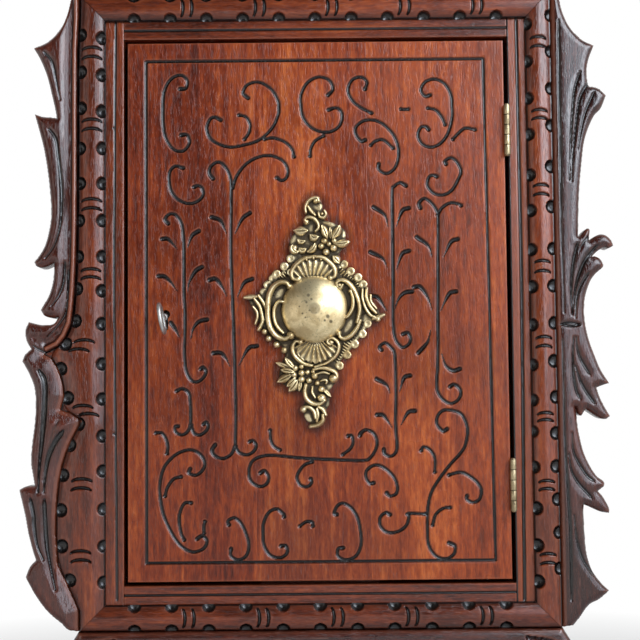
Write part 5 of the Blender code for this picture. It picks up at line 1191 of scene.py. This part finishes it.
# %% Rolls and beads, by pixels of the photograph, with their half width and rise in millimetres
ORNAMENT_RIBS = {
    "shell_arch_left": (3, 7.5, "314.1,256.8 304.8,258.6 296.7,264.1 291.8,271.6 292.7,278.2 297.5,280.3"),
    "shell_arch_left_inner": (1.6, 5, "301.6,261.9 296.4,268.4 295.6,273.8 299.4,276.5"),
    "shell_arch_right": (3, 7.5, "314.1,256.8 322.2,257.5 329.8,262.4 334.7,268.9 334.7,276 330.3,278.7"),
    "shell_arch_right_inner": (1.6, 5, "327.1,262.4 331.4,268.4 331.7,273.8 328.7,276.5"),
    "left_c": (3.6, 8.5,
        "289.4,286.8 286.4,283 279.9,282.5 273.4,286.8 269.3,295 268,304.7 268,316.7 270.3,327.5 "
        "276.1,335.6 284.2,338.9 290.3,336.2"),
    "left_c_inner": (2.6, 7, "283.7,302 278.3,302 274.5,308 273.9,316.7 276.6,325.3 283.1,332.9"),
    "right_c": (2.9, 8.5,
        "342.3,285.2 340.1,288.5 336.8,286.8 336.8,282.5 341.2,280.3 347.7,282.5 353.6,289.5 "
        "358,299.3 359.6,310.2 357.1,322.1"),
    "right_c_inner": (2.6, 7, "350.6,290.6 353.1,298.2 352.8,306.9 348.8,315 343,318.8"),
    "low_right": (2.6, 7.5, "339.3,332.5 340.1,336.9 345,338.5 351.5,334.7 356.9,327.7 360.2,320.6"),
    "low_arch_left": (2.7, 7.5,
        "300.5,342.3 295.6,341.8 292.7,346.6 293.4,353.1 297.8,359.1 304.8,364 311.9,365.6"),
    "low_arch_left_inner": (1.7, 5.5, "302.1,346.6 298.1,349.3 298.3,354.8 303.8,360.2"),
    "low_arch_right": (2.4, 7.5,
        "332.5,342.3 330.3,344.5 327.6,342.5 328.2,339.3 332.5,338.2 337.4,341.8 338.8,347.2 "
        "335.7,355.3 328.2,361.8 320.6,365.1 315.1,367"),
    "left_flame_outer": (2, 5.5, "253,306.4 256.9,311.8 257.3,317.2 255.2,323.7"),
    "left_flame_middle": (2.5, 6.5, "254.4,298.8 259.8,306.4 262.3,315.6 262.5,322.1 258.4,329.7"),
    "left_flame_inner": (2.3, 6, "258.4,295.5 263.4,302.6 265.8,311.2 264.9,319.9"),
    "left_tip": (2.8, 4.5, "245.4,297.4 250.1,296.9 256.6,296.6"),
    "right_flame_inner": (2.3, 6, "362.5,289.5 362.5,298.2 365,306.9 369.9,314.5 374.3,316.9"),
    "right_flame_middle": (2.5, 6.5, "366.9,288.5 366.4,297.1 369.9,305.8 375.9,312.9"),
    "right_flame_outer": (1.9, 5, "370.8,295 371,301.5 376.4,308.5"),
    "right_tip": (2.9, 5, "373.4,318.3 378,317.2 383.5,314.8"),
    "leaf_left": (3.6, 5.5, "293.8,230.4 299.4,231 308.1,230.4"),
    "leaf_left_low": (3, 6, "309.7,234.2 313.5,237.5 318.9,236.4"),
    "upper_c": (2.3, 7, "307.5,222.8 304.8,220.1 307.5,217.4 313,218 317.6,222.8 318.4,227.7 315.7,231"),
    "curl_a": (2, 5.5, "297.2,238.6 300.5,241.8 305.9,240.7"),
    "curl_b": (2.6, 6, "293.4,244 292,247.8 295.1,251.6 299.4,251"),
    "curl_c": (2.6, 6, "298.3,247.8 302.1,250.5 306.5,248.3"),
    "curl_d": (2.7, 6, "306.5,252.1 311.3,250.5 314.6,246.2 315.1,242.4"),
    "plume_left": (2.4, 6.5, "305.9,212.5 305.4,207.1 308.1,201.1 313,197.9 317.3,197.9 318.7,201.1"),
    "plume_right": (2.2, 6, "308.1,206.6 311.3,211.5 315.1,215.2"),
    "plume_curl": (1.9, 5.5, "324.4,210.4 326,214.2 323.3,217.4 319.5,216.3 318.4,212.5"),
    "flower_leaf": (3.3, 6.5, "332.5,255.9 336.3,259.7 339.5,263.5"),
    "tulip_a": (3, 6.5, "321.5,224.5 324.5,231 327.5,239"),
    "tulip_b": (3, 6.5, "340,224.5 337.5,231 332,239"),
    "tulip_c": (3.2, 6.5, "350,241.5 342,243.5 333,243.5"),
    "tulip_d": (1.8, 5, "329.8,226.5 330.5,232 330.5,239.5"),
    "right_scroll": (2.6, 7, "313.5,369.4 322.2,367.8 329.8,369.4 335.7,373.2 336.8,377.5 333.6,379.7"),
    "right_scroll_inner": (1.8, 5, "316.8,373.8 323.3,372.1 329.2,373.8"),
    "small_curl": (1.7, 5, "321.1,380.8 324.4,379.7 326.9,381.1 326,383.5"),
    "low_c": (2.9, 7.5, "305.9,385.1 304.8,392.2 307,399.2 313,403.6 320,403.6 324.6,400.3"),
    "low_c_inner": (1.8, 5.5, "312.6,386.8 312.2,392.2 315.1,397.6"),
    "sprig": (1.7, 5, "322.2,388.4 326.5,392.2 331.1,397.1"),
    "tail_lobe": (2.6, 6, "302.5,410.1 304.8,407.4 309.7,407.4 314.1,411.7 315.7,418.2"),
    "tail_right": (2.6, 6, "318.4,406.8 322.7,409.5 325.7,415"),
    "tail_low": (2.9, 6, "322.7,415 322.7,420.4 317.9,424.7 310.5,426.7"),
    "tail_stem": (2.6, 5, "316.8,408.5 317.9,415 316.8,421.5"),
    "petal_1": (2.2, 5, "275.4,362.4 284,366 292.5,370"),
    "petal_2": (2.6, 6, "284.8,357.5 289,363 295,369"),
    "petal_3": (2.8, 6.5, "280.5,369.8 287.5,370.8 294.5,372"),
    "petal_4": (3.2, 6, "277.2,382.2 284.5,378.5 292.5,374.5"),
    "petal_5": (2.6, 6, "286.5,386.8 291.8,382 296,377"),
    "petal_6": (3.4, 5.5, "288.6,391.5 293.5,386 297.8,379.5"),
    "petal_7": (2, 5, "299,391.5 300,385.7 300.5,379"),
}
ORNAMENT_BALLS = """
298.3,279.8,3.6,8 330.3,278.2,3.2,8 289.9,286.8,3.4,8.5 290.7,335.6,4.2,9 339.5,285.2,2.6,8
350.4,290.8,2.4,7 342.8,318.8,2.6,7 306.5,221.8,2.8,7 326,252.1,3.6,7.5 321.1,246.2,3.2,7
333.6,247.8,3.6,7 324.4,240.7,3.4,6 334.1,240.7,3,6 329.2,244,2.6,6.5 294.5,247.8,3,6 322.2,213.6,2,5
315.7,200.6,2.8,6.5 378,319.4,2.4,5.5 313.5,258.6,1.6,8 306.5,260.3,1.5,7.5 320.9,259.7,1.5,7.5
300.3,342.3,3,8 330.7,342.1,2.6,8 338.5,333.1,3,8 333.6,378.3,4.3,8 321.6,398.2,4.3,8.5
321.6,389.2,3.2,7 303.5,409.3,3.4,6.5 301.6,372.9,3.3,7.5 301.6,379.4,3.5,7.5 294,374.8,3.2,7
309,380.5,3,7 314.6,375.9,3.4,7 295.1,368.3,3.4,6.5 301.6,366.4,3,6.5 307.5,372.1,2.8,6.5
317.3,383,2.6,6 313,371.6,2.4,6 264.7,331.5,3,5.5 268.8,338.2,3.1,5.5 276.6,344.5,3.1,5.5
284.2,350.1,3.1,5.5
"""
LEFT_SCALLOPS = "263.8,292.3 267.7,284.7 272.8,278.2 276.4,273.8 284.2,266.2 290.7,258.3"
RIGHT_SCALLOPS = "343.9,264.1 350.6,271.1 358,277.1 363.2,284.1"
LOW_SCALLOPS = "367.5,323.3 362.5,333.6 354.7,343.9 347.1,354.8 339.5,365.6"

# %% Laying the casting up
PLATE, PLATE_INSET, ORNAMENT_STEP = 2.3, 2.6, 0.44
DOME_HALF, DOME_RISE, DOME_POWER, DOME_WEAR = np.array([33.5, 34.5]), 14.5, 0.68, 0.35
FLUTES, SHELL_FOOT, SHELL_RISE, SHELL_ROLL, SHELL_SCALLOP, BALL_SHARE = 9, 1.4, 4.2, 2.3, 2.2, 1.15
DOME_PITS = "-6,13,1.9 -3,9,1.4 -8,6,1.4 -5,-2,1.1 -12,-5,1.2 -9,-9,1 -15,2,1 13,-8,2.2 16,-13,1.9 10,-12,1.3"
LEAF_SHAPED = ("leaf", "petal", "tulip", "flower", "curl", "sprig")


def cast_spots(text):
    """Rows of a table whose first two numbers are pixels, moved to the plane of the casting."""
    rows = np.atleast_2d(table(text))
    rows[:, :2] = on_plane(rows[:, :2], CAST_PLANE)
    return rows


xs = np.arange(plate_edge[:, 0].min() - 1, plate_edge[:, 0].max() + 1, ORNAMENT_STEP)
zs = np.arange(plate_edge[:, 1].min() - 1, plate_edge[:, 1].max() + 1, ORNAMENT_STEP)
across, height = np.meshgrid(xs, zs, indexing="ij")
inside = edge_distance(across, height, plate_edge) - PLATE_INSET
egg = np.hypot((across - middle_x) / DOME_HALF[0], (height - middle_z) / DOME_HALF[1])
proud = PLATE - (1 - ease(inside, 0.0, 2.0))


def fan(proud, centre, inner, outer, start, end):
    """A shell: hollow flutes that spread from a centre, with a scalloped rim.

    With a as the angle in flutes, the height across a flute falls from its ridge as |sin|, and along
    it the shell rises towards the rim and rolls over there."""
    x, z = cast_spots(centre)[0]
    r = np.hypot(across - x, height - z)
    angle = np.degrees(np.arctan2(height - z, across - x)) % 360
    a = (angle - start) / (end - start) * FLUTES
    hollow = np.abs(np.sin(np.pi * a))
    rim = outer - SHELL_SCALLOP * (1 - hollow)
    t = np.clip((r - inner) / (rim - inner), 0, 1)
    swell = PLATE + SHELL_FOOT + SHELL_RISE * np.sin(t * SHELL_ROLL) * (1 - 0.5 * hollow)
    on = (r > inner) & (r < rim) & (a > 0) & (a < FLUTES)
    return np.where(on, np.maximum(proud, swell), proud)


proud = fan(proud, "312.4,289.5", 2.0, 31.5, 32.0, 148.0)
proud = fan(proud, "315.7,335.8", 2.0, 28.0, 208.0, 332.0)
for name, (half, rise, text) in ORNAMENT_RIBS.items():
    line = smooth(cast_spots(text), 5)
    far, share = trace(xs, zs, line, 1.5 * half + 1.2)
    belly = np.sin(np.pi * np.clip(share, 0.02, 0.98))
    leaf = name.split("_")[0] in LEAF_SHAPED
    wide = 1.5 * half * belly**0.8 if leaf else half * (0.72 + 0.28 * belly)
    u = np.clip(far / wide, 0, 1)
    crease = 1.3 * np.exp(-((far / 0.6) ** 2)) if leaf else 0
    proud = np.where(u < 1, np.maximum(proud, 1.2 + rise * arch(u) - crease), proud)
    inside = np.maximum(inside, wide - far)
for x, z, radius, rise in cast_spots(ORNAMENT_BALLS) * [1, 1, BALL_SHARE, 1]:
    u = np.hypot(across - x, height - z) / radius
    proud = np.where(u < 1, np.maximum(proud, 1.0 + rise * arch(u)), proud)
    inside = np.maximum(inside, radius * (1 - u))

# %% Scalloped edges with a comb of fine bars inside them
SCALLOP_RADIUS, BAR_PITCH = 4.3, 2.7
for text in (LEFT_SCALLOPS, RIGHT_SCALLOPS, LOW_SCALLOPS):
    spots = cast_spots(text)
    length = np.hypot(*np.diff(spots, axis=0).T).sum()
    far, share = trace(xs, zs, smooth(spots, 4), 12.0)
    bars = 0.9 * np.cos(2 * np.pi * share * length / BAR_PITCH)
    bars = bars * ease(far, 3.0, 4.5) * (1 - ease(far, 9.0, 11.0))
    proud = np.where((egg > 1.25) & (proud < PLATE + 0.3), proud + bars, proud)
    for x, z in spots:
        d = np.hypot(across - x, height - z)
        lobe = PLATE + 1.2 * arch(d / SCALLOP_RADIUS) - np.exp(-((d / 2.2) ** 2))
        proud = np.where(d < SCALLOP_RADIUS, np.maximum(proud, lobe), proud)
        inside = np.maximum(inside, SCALLOP_RADIUS - d)

# %% Dome and finish
dome = PLATE + 0.6 + DOME_RISE * np.clip(1 - egg**2, 0, 1) ** DOME_POWER
proud = np.where(egg < 1, np.maximum(dome, proud - 2.4 * (1 - ease(egg, 0.86, 1.0))), proud)
on_dome = (egg < 1) & (proud <= dome + 1e-6)
hollow = np.maximum(blurred(proud, 4), blurred(proud, 9)) - proud
beside = ease(np.abs(across - middle_x) / (DOME_HALF[0] * np.maximum(egg, 0.1)), 0.4, 0.8)
crevice = np.where(on_dome, ease(egg, 0.90, 1.0) * beside, 1.0)
dark = ease(hollow, -0.45, 1.0) * crevice
worn = np.where(on_dome & (crevice < 0.1), DOME_WEAR, ease(-hollow, 0.4, 1.6))
# Dark spots on the dome: one at its top, and the pits listed in DOME_PITS.
dome_spots = np.where(on_dome, 0.9 * (1 - ease(np.hypot(across - middle_x, height - middle_z), 4.4, 7.0)), 0)
for x, z, radius in table(DOME_PITS) + [middle_x, middle_z, 0]:
    dome_spots = np.maximum(dome_spots, 1.5 * (1 - ease(np.hypot(across - x, height - z) / radius, 0.5, 1.2)))
# Painted shade with tarnish: the dome darkens towards its left, the side away from the light.
dull_and_shade = np.where(on_dome, 0.16 * ease(middle_x - across, -12.0, 24.0), 0)
dark = np.maximum(dark, np.maximum(0.55 * dome_spots, dull_and_shade))
mesh = relief("door_ornament", xs, zs, inside, cast_back - np.maximum(proud, 0.5), cast_back,
              {"cut": 0.95 * dark, "wear": 0.8 * worn * (1 - dark)})
add_piece("door_ornament", mesh, "door", ["door_ornament"], brass, sharp=60)

# %% [markdown]
# ## Hinges
# Two brass butt hinges hang the door. Each has five knuckles on a pin, three on the frame's leaf and
# two on the door's, and its leaves are let into the edges of the door and the stile, where they only
# show when the door is open. A knuckle is turned, so it is a profile carried round an axis. A leaf is
# a flat plate with eased edges, and its screws are flat heads with a slot.

# %% Turned and flat shapes
def turned(profile, sides=28, marks=None):
    """A profile of (radius, place along Z) rows carried round the Z axis, capped at both ends."""
    profile = np.asarray(profile, float)
    angle = np.linspace(0, 2 * np.pi, sides, endpoint=False)
    points = np.stack([np.outer(profile[:, 0], np.cos(angle)), np.outer(profile[:, 0], np.sin(angle)),
                       np.repeat(profile[:, 1:], sides, 1)], -1)
    values = np.zeros(len(profile)) if marks is None else np.asarray(marks, float)
    shade = {"cut": np.repeat(values[:, None], sides, 1), "wear": np.zeros(points.shape[:2])}
    return grid_mesh(points, shade)


def eased_plate(low, high, inset=0.25):
    """A flat bar between two corners with eased edges: four rings of a rectangle with cut corners."""
    low, high = np.asarray(low, float), np.asarray(high, float)
    middle, half = (low + high) / 2, (high - low) / 2
    signs = np.array([(-1, -1), (1, -1), (1, 1), (-1, 1)], float)
    ends = (-1, inset), (-1 + inset / half[2], 0), (1 - inset / half[2], 0), (1, inset)
    rings = [[(sx * (half[0] - shrink - a), sy * (half[1] - shrink - b), depth * half[2])
              for sx, sy in signs for a, b in ((0, inset), (inset, 0))[::int(sx * sy)]]
             for depth, shrink in ends]
    points = np.array(rings) + middle
    blank = np.zeros(points.shape[:2])
    return grid_mesh(points, {"cut": blank, "wear": blank})


def moved(part, shift=(0, 0, 0), turn=None):
    """A part turned by a three by three matrix about the origin and then shifted."""
    points = part[0] if turn is None else part[0] @ np.asarray(turn, float).T
    return points + np.asarray(shift, float), part[1], part[2]


def screw_head(radius, rise):
    """A round slotted head: rings of points whose height drops in a slot across the middle."""
    rings = np.array([radius, radius, 0.93 * radius, 0.7 * radius, 0.45 * radius, 0.22 * radius])
    angle = np.linspace(0, 2 * np.pi, 32, endpoint=False)
    x, y = np.outer(rings, np.cos(angle)), np.outer(rings, np.sin(angle))
    level = np.repeat(rise * np.array([0.0, 0.55, 0.9, 1.0, 1.0, 1.0])[:, None], 32, 1)
    slot = (np.abs(y) < 0.16 * radius) & (level > 0.1 * rise)
    level = np.where(slot, 0.35 * rise, level)
    shade = {"cut": slot * 0.9, "wear": np.zeros(x.shape)}
    return grid_mesh(np.stack([x, y, level], -1), shade)


FACING = {  # turns a head that looks along +Z to look along an axis
    "+X": ((0, 0, 1), (0, 1, 0), (-1, 0, 0)), "-X": ((0, 0, -1), (0, 1, 0), (1, 0, 0)),
    "+Y": ((1, 0, 0), (0, 0, 1), (0, -1, 0)), "-Y": ((1, 0, 0), (0, 0, -1), (0, 1, 0)),
}

# %% Two hinges
HINGE_X, HINGE_Y, KNUCKLE_RADIUS = 192.0, FACE - 3.5, 3.2
HINGE_LENGTH, KNUCKLES, LEAF_THICK, LEAF_DEEP = 51.0, 5, 1.4, 17.0
LEAF_GAP, PLAY = 0.3, 0.15
# Heads of the leaf's screws: radius and rise, then their places up and into the leaf
HINGE_HEAD, HINGE_SCREWS = (2.7, 0.2), ((-18, 10.5), (0, 7.0), (18, 10.5))
for name in ("upper", "lower"):
    centre = sum(node_box(f"hinge_{name}_pin")[end][2] for end in (0, 1)) / 2
    low, pitch = centre - HINGE_LENGTH / 2, HINGE_LENGTH / KNUCKLES
    for owner, sign, first, body in (("frame", 1, 0, "case"), ("door", -1, 1, "door")):
        near, far = sorted((HINGE_X + sign * LEAF_GAP, HINGE_X + sign * (LEAF_GAP + LEAF_THICK)))
        parts = [eased_plate((near, FACE + 0.02, low), (far, FACE + LEAF_DEEP, low + HINGE_LENGTH))]
        for knuckle in range(first, KNUCKLES, 2):
            start, end = low + knuckle * pitch + PLAY, low + (knuckle + 1) * pitch - PLAY
            r = KNUCKLE_RADIUS
            barrel = [(r - 0.5, start), (r - 0.12, start + 0.12), (r, start + 0.45), (r, end - 0.45),
                      (r - 0.12, end - 0.12), (r - 0.5, end)]
            barrel = turned(barrel, marks=[0.8, 0.5, 0, 0, 0.5, 0.8])
            parts.append(moved(barrel, (HINGE_X, HINGE_Y, 0)))
            parts.append(eased_plate((near, HINGE_Y, start + 0.3), (far, FACE + 1.0, end - 0.3)))
        leaf = f"hinge_{name}_{owner}_leaf"
        add_metal(leaf, parts, body, [leaf], dull_brass)
        side, facing = (near, "-X") if owner == "frame" else (far, "+X")
        heads = [moved(screw_head(*HINGE_HEAD), (side, FACE + deep, centre + up_by), FACING[facing])
                 for up_by, deep in HINGE_SCREWS]
        add_metal(leaf + "_screws", heads, body, [], dull_brass)
    top, foot = low + HINGE_LENGTH, low
    pin = turned([(0.4, foot - 1.3), (1.6, foot - 1.1), (2.4, foot - 0.5), (2.5, foot), (1.3, foot + 0.01),
                  (1.3, top - 0.01), (2.5, top), (2.4, top + 0.5), (1.6, top + 1.1), (0.4, top + 1.3)])
    pin_name = f"hinge_{name}_pin"
    add_metal(pin_name, [moved(pin, (HINGE_X, HINGE_Y, 0))], "case", [pin_name], dull_brass)

# %% [markdown]
# ## Key and lock screws
# The key is a forged steel one with a ring bow, which hangs nearly edge-on in the photograph. The bow is
# a ring: a small ellipse carried round a larger one. The shank with its collar is turned, and the bit
# is a filed plate with a ward cut. All of it is made along the key's own axis and then put into the
# keyhole, tipped down a little and turned, as the solid is.

# %% Key
KEY_PLACE = (KEY_X, (DOOR_FRONT + DOOR_BACK) / 2, KEY_Z)
DROOP, REST_TURN = math.radians(8), math.radians(-10)
tip_down = np.array(((1, 0, 0), (0, math.cos(DROOP), -math.sin(DROOP)),
                     (0, math.sin(DROOP), math.cos(DROOP))))
twist = np.array(((math.cos(REST_TURN), 0, math.sin(REST_TURN)), (0, 1, 0),
                  (-math.sin(REST_TURN), 0, math.cos(REST_TURN))))
BOW_START, BOW_LONG, BOW_TALL, BOW_RIM, BOW_THICK = 30.5, 25.0, 32.0, 5.0, 4.0
BIT_AT, BIT_WIDE, BIT_REACH, BIT_THICK = 17.9, 5.0, 12.5, 2.4
profile = np.array([(0.8, -22.4), (1.9, -22.0), (2.3, -21.2), (2.3, 8.5), (2.2, 22.4), (2.6, 22.8), (2.6, 23.5),
                    (2.3, 23.8), (2.4, 24.4), (3.5, 24.8), (3.8, 25.6), (3.8, 26.4), (3.5, 27.2), (2.5, 27.6),
                    (2.3, 28.4), (2.6, 30.0), (2.9, 31.6), (2.2, 33.2)])
wear = np.interp(profile[:, 1], (23, 24.3, 25, 27, 27.6, 28.5), (0, 0.6, 0, 0, 0.6, 0))
shank = moved(turned(profile, 26, wear), turn=((1, 0, 0), (0, 0, -1), (0, 1, 0)))
around = np.linspace(0, 2 * np.pi, 64, endpoint=False)[:, None]
section = np.linspace(0, 2 * np.pi, 18, endpoint=False)[None]
ring_y = (BOW_LONG - BOW_RIM) / 2 + BOW_RIM / 2 * np.cos(section)
ring_z = (BOW_TALL - BOW_RIM) / 2 + BOW_RIM / 2 * np.cos(section)
ring = np.stack([BOW_THICK / 2 * np.sin(section) + 0 * around,
                 -BOW_START - BOW_LONG / 2 + ring_y * np.cos(around), ring_z * np.sin(around)], -1)
blank = np.zeros(ring.shape[:2])
bow = grid_mesh(ring, {"cut": 0.35 * (np.cos(section) < -0.6) + blank,
                       "wear": 0.5 * (np.cos(section) > 0.3) + blank}, ring=True)
near, far = (-BIT_THICK / 2, BIT_AT - BIT_WIDE / 2), (BIT_THICK / 2, BIT_AT + BIT_WIDE / 2)
bit = [eased_plate((*near, -BIT_REACH), (*far, -8.2)), eased_plate((*near, -8.6), (far[0], BIT_AT + 0.6, 0))]
key_parts = [moved(moved(part, turn=tip_down @ twist), KEY_PLACE) for part in (shank, bow, *bit)]
add_metal("key", key_parts, "key", ["key"], steel)

# %% Lock screws
LOCK_HEAD, LOCK_INSET_X, LOCK_INSET_Z = (2.8, 0.7), 6, 5
lock_low, lock_high = node_box("lock_case")
heads = [moved(screw_head(*LOCK_HEAD), (x, lock_high[1], z), FACING["+Y"])
         for x in (lock_low[0] + LOCK_INSET_X, lock_high[0] - LOCK_INSET_X)
         for z in (lock_low[2] + LOCK_INSET_Z, lock_high[2] - LOCK_INSET_Z)]
add_metal("lock_screws", heads, "door", [], steel)

# %% [markdown]
# ## Solids that keep their own shape
# The plain boards of the case, the shelves, the lock and the keeper have the right shape already, so
# the solids stay and only get their finish. Each board takes the material whose grain runs along it.

# %% Finishes for the solids
PLAIN_PARTS = {
    case_upright: ["case_side_left", "case_side_right"],
    case_level: ["case_top", "case_bottom", "hanging_rail", "shelf_upper", "shelf_lower", "door_stop_top",
                 "door_stop_bottom", "door_clamp_upper", "door_clamp_lower"],
    case_deep: ["shelf_cleat_upper_left", "shelf_cleat_upper_right", "shelf_cleat_lower_left",
                "shelf_cleat_lower_right"],
    softwood: ["back_board_left", "back_board_centre", "back_board_right"],
    steel: ["lock_plate", "lock_case", "lock_bolt"],
    brass: ["lock_keeper"],
}
for finish, names in PLAIN_PARTS.items():
    for name in names:
        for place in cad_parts[name].material_slots:
            place.material = finish
print(sum(map(len, PLAIN_PARTS.values())), "solids finished")

# %% [markdown]
# ## Light, floor and white ground
# The photograph has one broad soft light from the upper right, which lays a bluish sheen on the right
# half, and an even weaker light all round. The ground is pure white, but white light from everywhere
# would wash out the dark lacquer. So the world is white for what the eye and the metal see behind the
# cabinet, and dimmer as light and on the viewer's side. Two bluish panes on the right are seen only in
# shiny surfaces: a narrow one in flat wood, a wide one in the flanks of the carving.

# %% Lamps
def soft_lamp(name, place, aim, size, power, tint):
    """A square lamp at a place, in metres, turned to face a point."""
    lamp = bpy.data.objects.new(name, bpy.data.lights.new(name, "AREA"))
    lamp.data.size, lamp.data.energy, lamp.data.color = size, power, tint
    lamp.location = place
    away = lamp.location - Matrix.Translation(aim).translation
    lamp.rotation_euler = away.to_track_quat("Z", "Y").to_euler()
    scene.collection.objects.link(lamp)


soft_lamp("window", (0.95, -1.15, 0.72), (0.0, -0.2, 0.0), 1.0, 21.0, (0.84, 0.92, 1.0))
soft_lamp("fill", (-1.5, -1.7, 0.3), (0.0, -0.2, 0.0), 1.2, 5.0, (1.0, 0.95, 0.9))

# %% White ground
WORLD_LIGHT, ROOM_SHINE, PANE_TINT = 0.36, 0.08, (0.80, 0.88, 1.0, 1.0)
# Brightness of a pane, where it fades in and out from left to right, and from its foot to its head
PANES = ((4.8, (0.11, 0.23, 0.42, 0.66), (-0.55, -0.30, 0.45, 0.75)),
         (3.0, (0.35, 0.80, 2.5, 6.0), (-1.6, -0.8, 1.5, 3.0)))
world = bpy.data.worlds.new("studio")
scene.world = world
world.use_nodes = True
tree = world.node_tree
paths = add(tree, "LightPath").outputs
direction = add(tree, "TexCoord").outputs["Generated"]
part = add(tree, "SeparateXYZ", {0: direction}).outputs
depth = part["Y"]
behind = add(tree, "MapRange", {"Value": depth, 1: -0.25, 2: 0.45, 3: ROOM_SHINE, 4: 1.0}).outputs[0]
front = maths(tree, "MAXIMUM", maths(tree, "MULTIPLY", depth, -1.0), 0.05)
panes = 0.0
for pane, sides, ends in PANES:
    for along, stops in ((part["X"], sides), (part["Z"], ends)):
        for low, high, first in ((*stops[:2], 0.0), (*stops[2:], 1.0)):
            limits = {"Value": maths(tree, "DIVIDE", along, front), 1: low, 2: high, 3: first, 4: 1.0 - first}
            step = add(tree, "MapRange", limits, interpolation_type="SMOOTHSTEP").outputs[0]
            pane = maths(tree, "MULTIPLY", pane, step)
    panes = maths(tree, "ADD", panes, pane)
shiny = maths(tree, "MAXIMUM", paths["Is Glossy Ray"], paths["Is Transmission Ray"])
seen = maths(tree, "ADD", maths(tree, "MULTIPLY", behind, shiny),
             maths(tree, "MULTIPLY", WORLD_LIGHT, maths(tree, "SUBTRACT", 1.0, shiny)))
strength = maths(tree, "MAXIMUM", seen, paths["Is Camera Ray"])
background = tree.nodes["Background"]
background.inputs["Color"].default_value = (1, 1, 1, 1)
tree.links.new(strength, background.inputs["Strength"])
window = add(tree, "Background", {"Color": PANE_TINT, "Strength": maths(tree, "MULTIPLY", panes, shiny)})
sky = add(tree, "AddShader", {0: background.outputs[0], 1: window.outputs[0]})
tree.links.new(sky.outputs[0], tree.nodes["World Output"].inputs["Surface"])

# %% Floor
FLOOR_DROP, FLOOR_HALF, FLOOR_WHITE = 0.25, 14.0, (1.0, 2.2)
floor_z = cad_low.z - FLOOR_DROP
floor_mesh = bpy.data.meshes.new("floor")
corners = ((-1, -1), (1, -1), (1, 1), (-1, 1))
floor_mesh.from_pydata([(sx * FLOOR_HALF, sy * FLOOR_HALF, floor_z) for sx, sy in corners], [], [(0, 1, 2, 3)])
floor = bpy.data.objects.new("floor", floor_mesh)
scene.collection.objects.link(floor)
floor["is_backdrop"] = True
pale, tree, shader = new_material("pale_floor")
floor_mesh.materials.append(pale)
shader.inputs["Base Color"].default_value = (0.86, 0.87, 0.88, 1)
shader.inputs["Roughness"].default_value = 0.8
glow = add(tree, "Emission", {"Color": (1, 1, 1, 1), "Strength": 1.0})
paths = add(tree, "LightPath").outputs
seen = maths(tree, "MAXIMUM", paths["Is Camera Ray"],
             maths(tree, "MAXIMUM", paths["Is Glossy Ray"], paths["Is Transmission Ray"]))
place = add(tree, "VectorMath", {0: add(tree, "TexCoord").outputs["Object"], 1: (1.0, 1.0, 0.0)},
            operation="MULTIPLY")
reach = add(tree, "VectorMath", {0: place.outputs[0]}, operation="LENGTH").outputs["Value"]
far = add(tree, "MapRange", {"Value": reach, 1: FLOOR_WHITE[0], 2: FLOOR_WHITE[1]}).outputs[0]
share = maths(tree, "MULTIPLY", far, seen)
whole = add(tree, "MixShader", {0: share, 1: shader.outputs[0], 2: glow.outputs[0]})
tree.links.new(whole.outputs[0], tree.nodes["Material Output"].inputs["Surface"])

# %% [markdown]
# ## Sizes of the solids and of the dressed cabinet
# The dressed cabinet should keep the size of its solids. The box of the solids is printed near the start,
# and the box of the dressed cabinet here, so that they can be set side by side.

# %% Boxes of the solids and of the dressed cabinet
low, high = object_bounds()
print("visual from", [round(v, 3) for v in low], "to", [round(v, 3) for v in high])
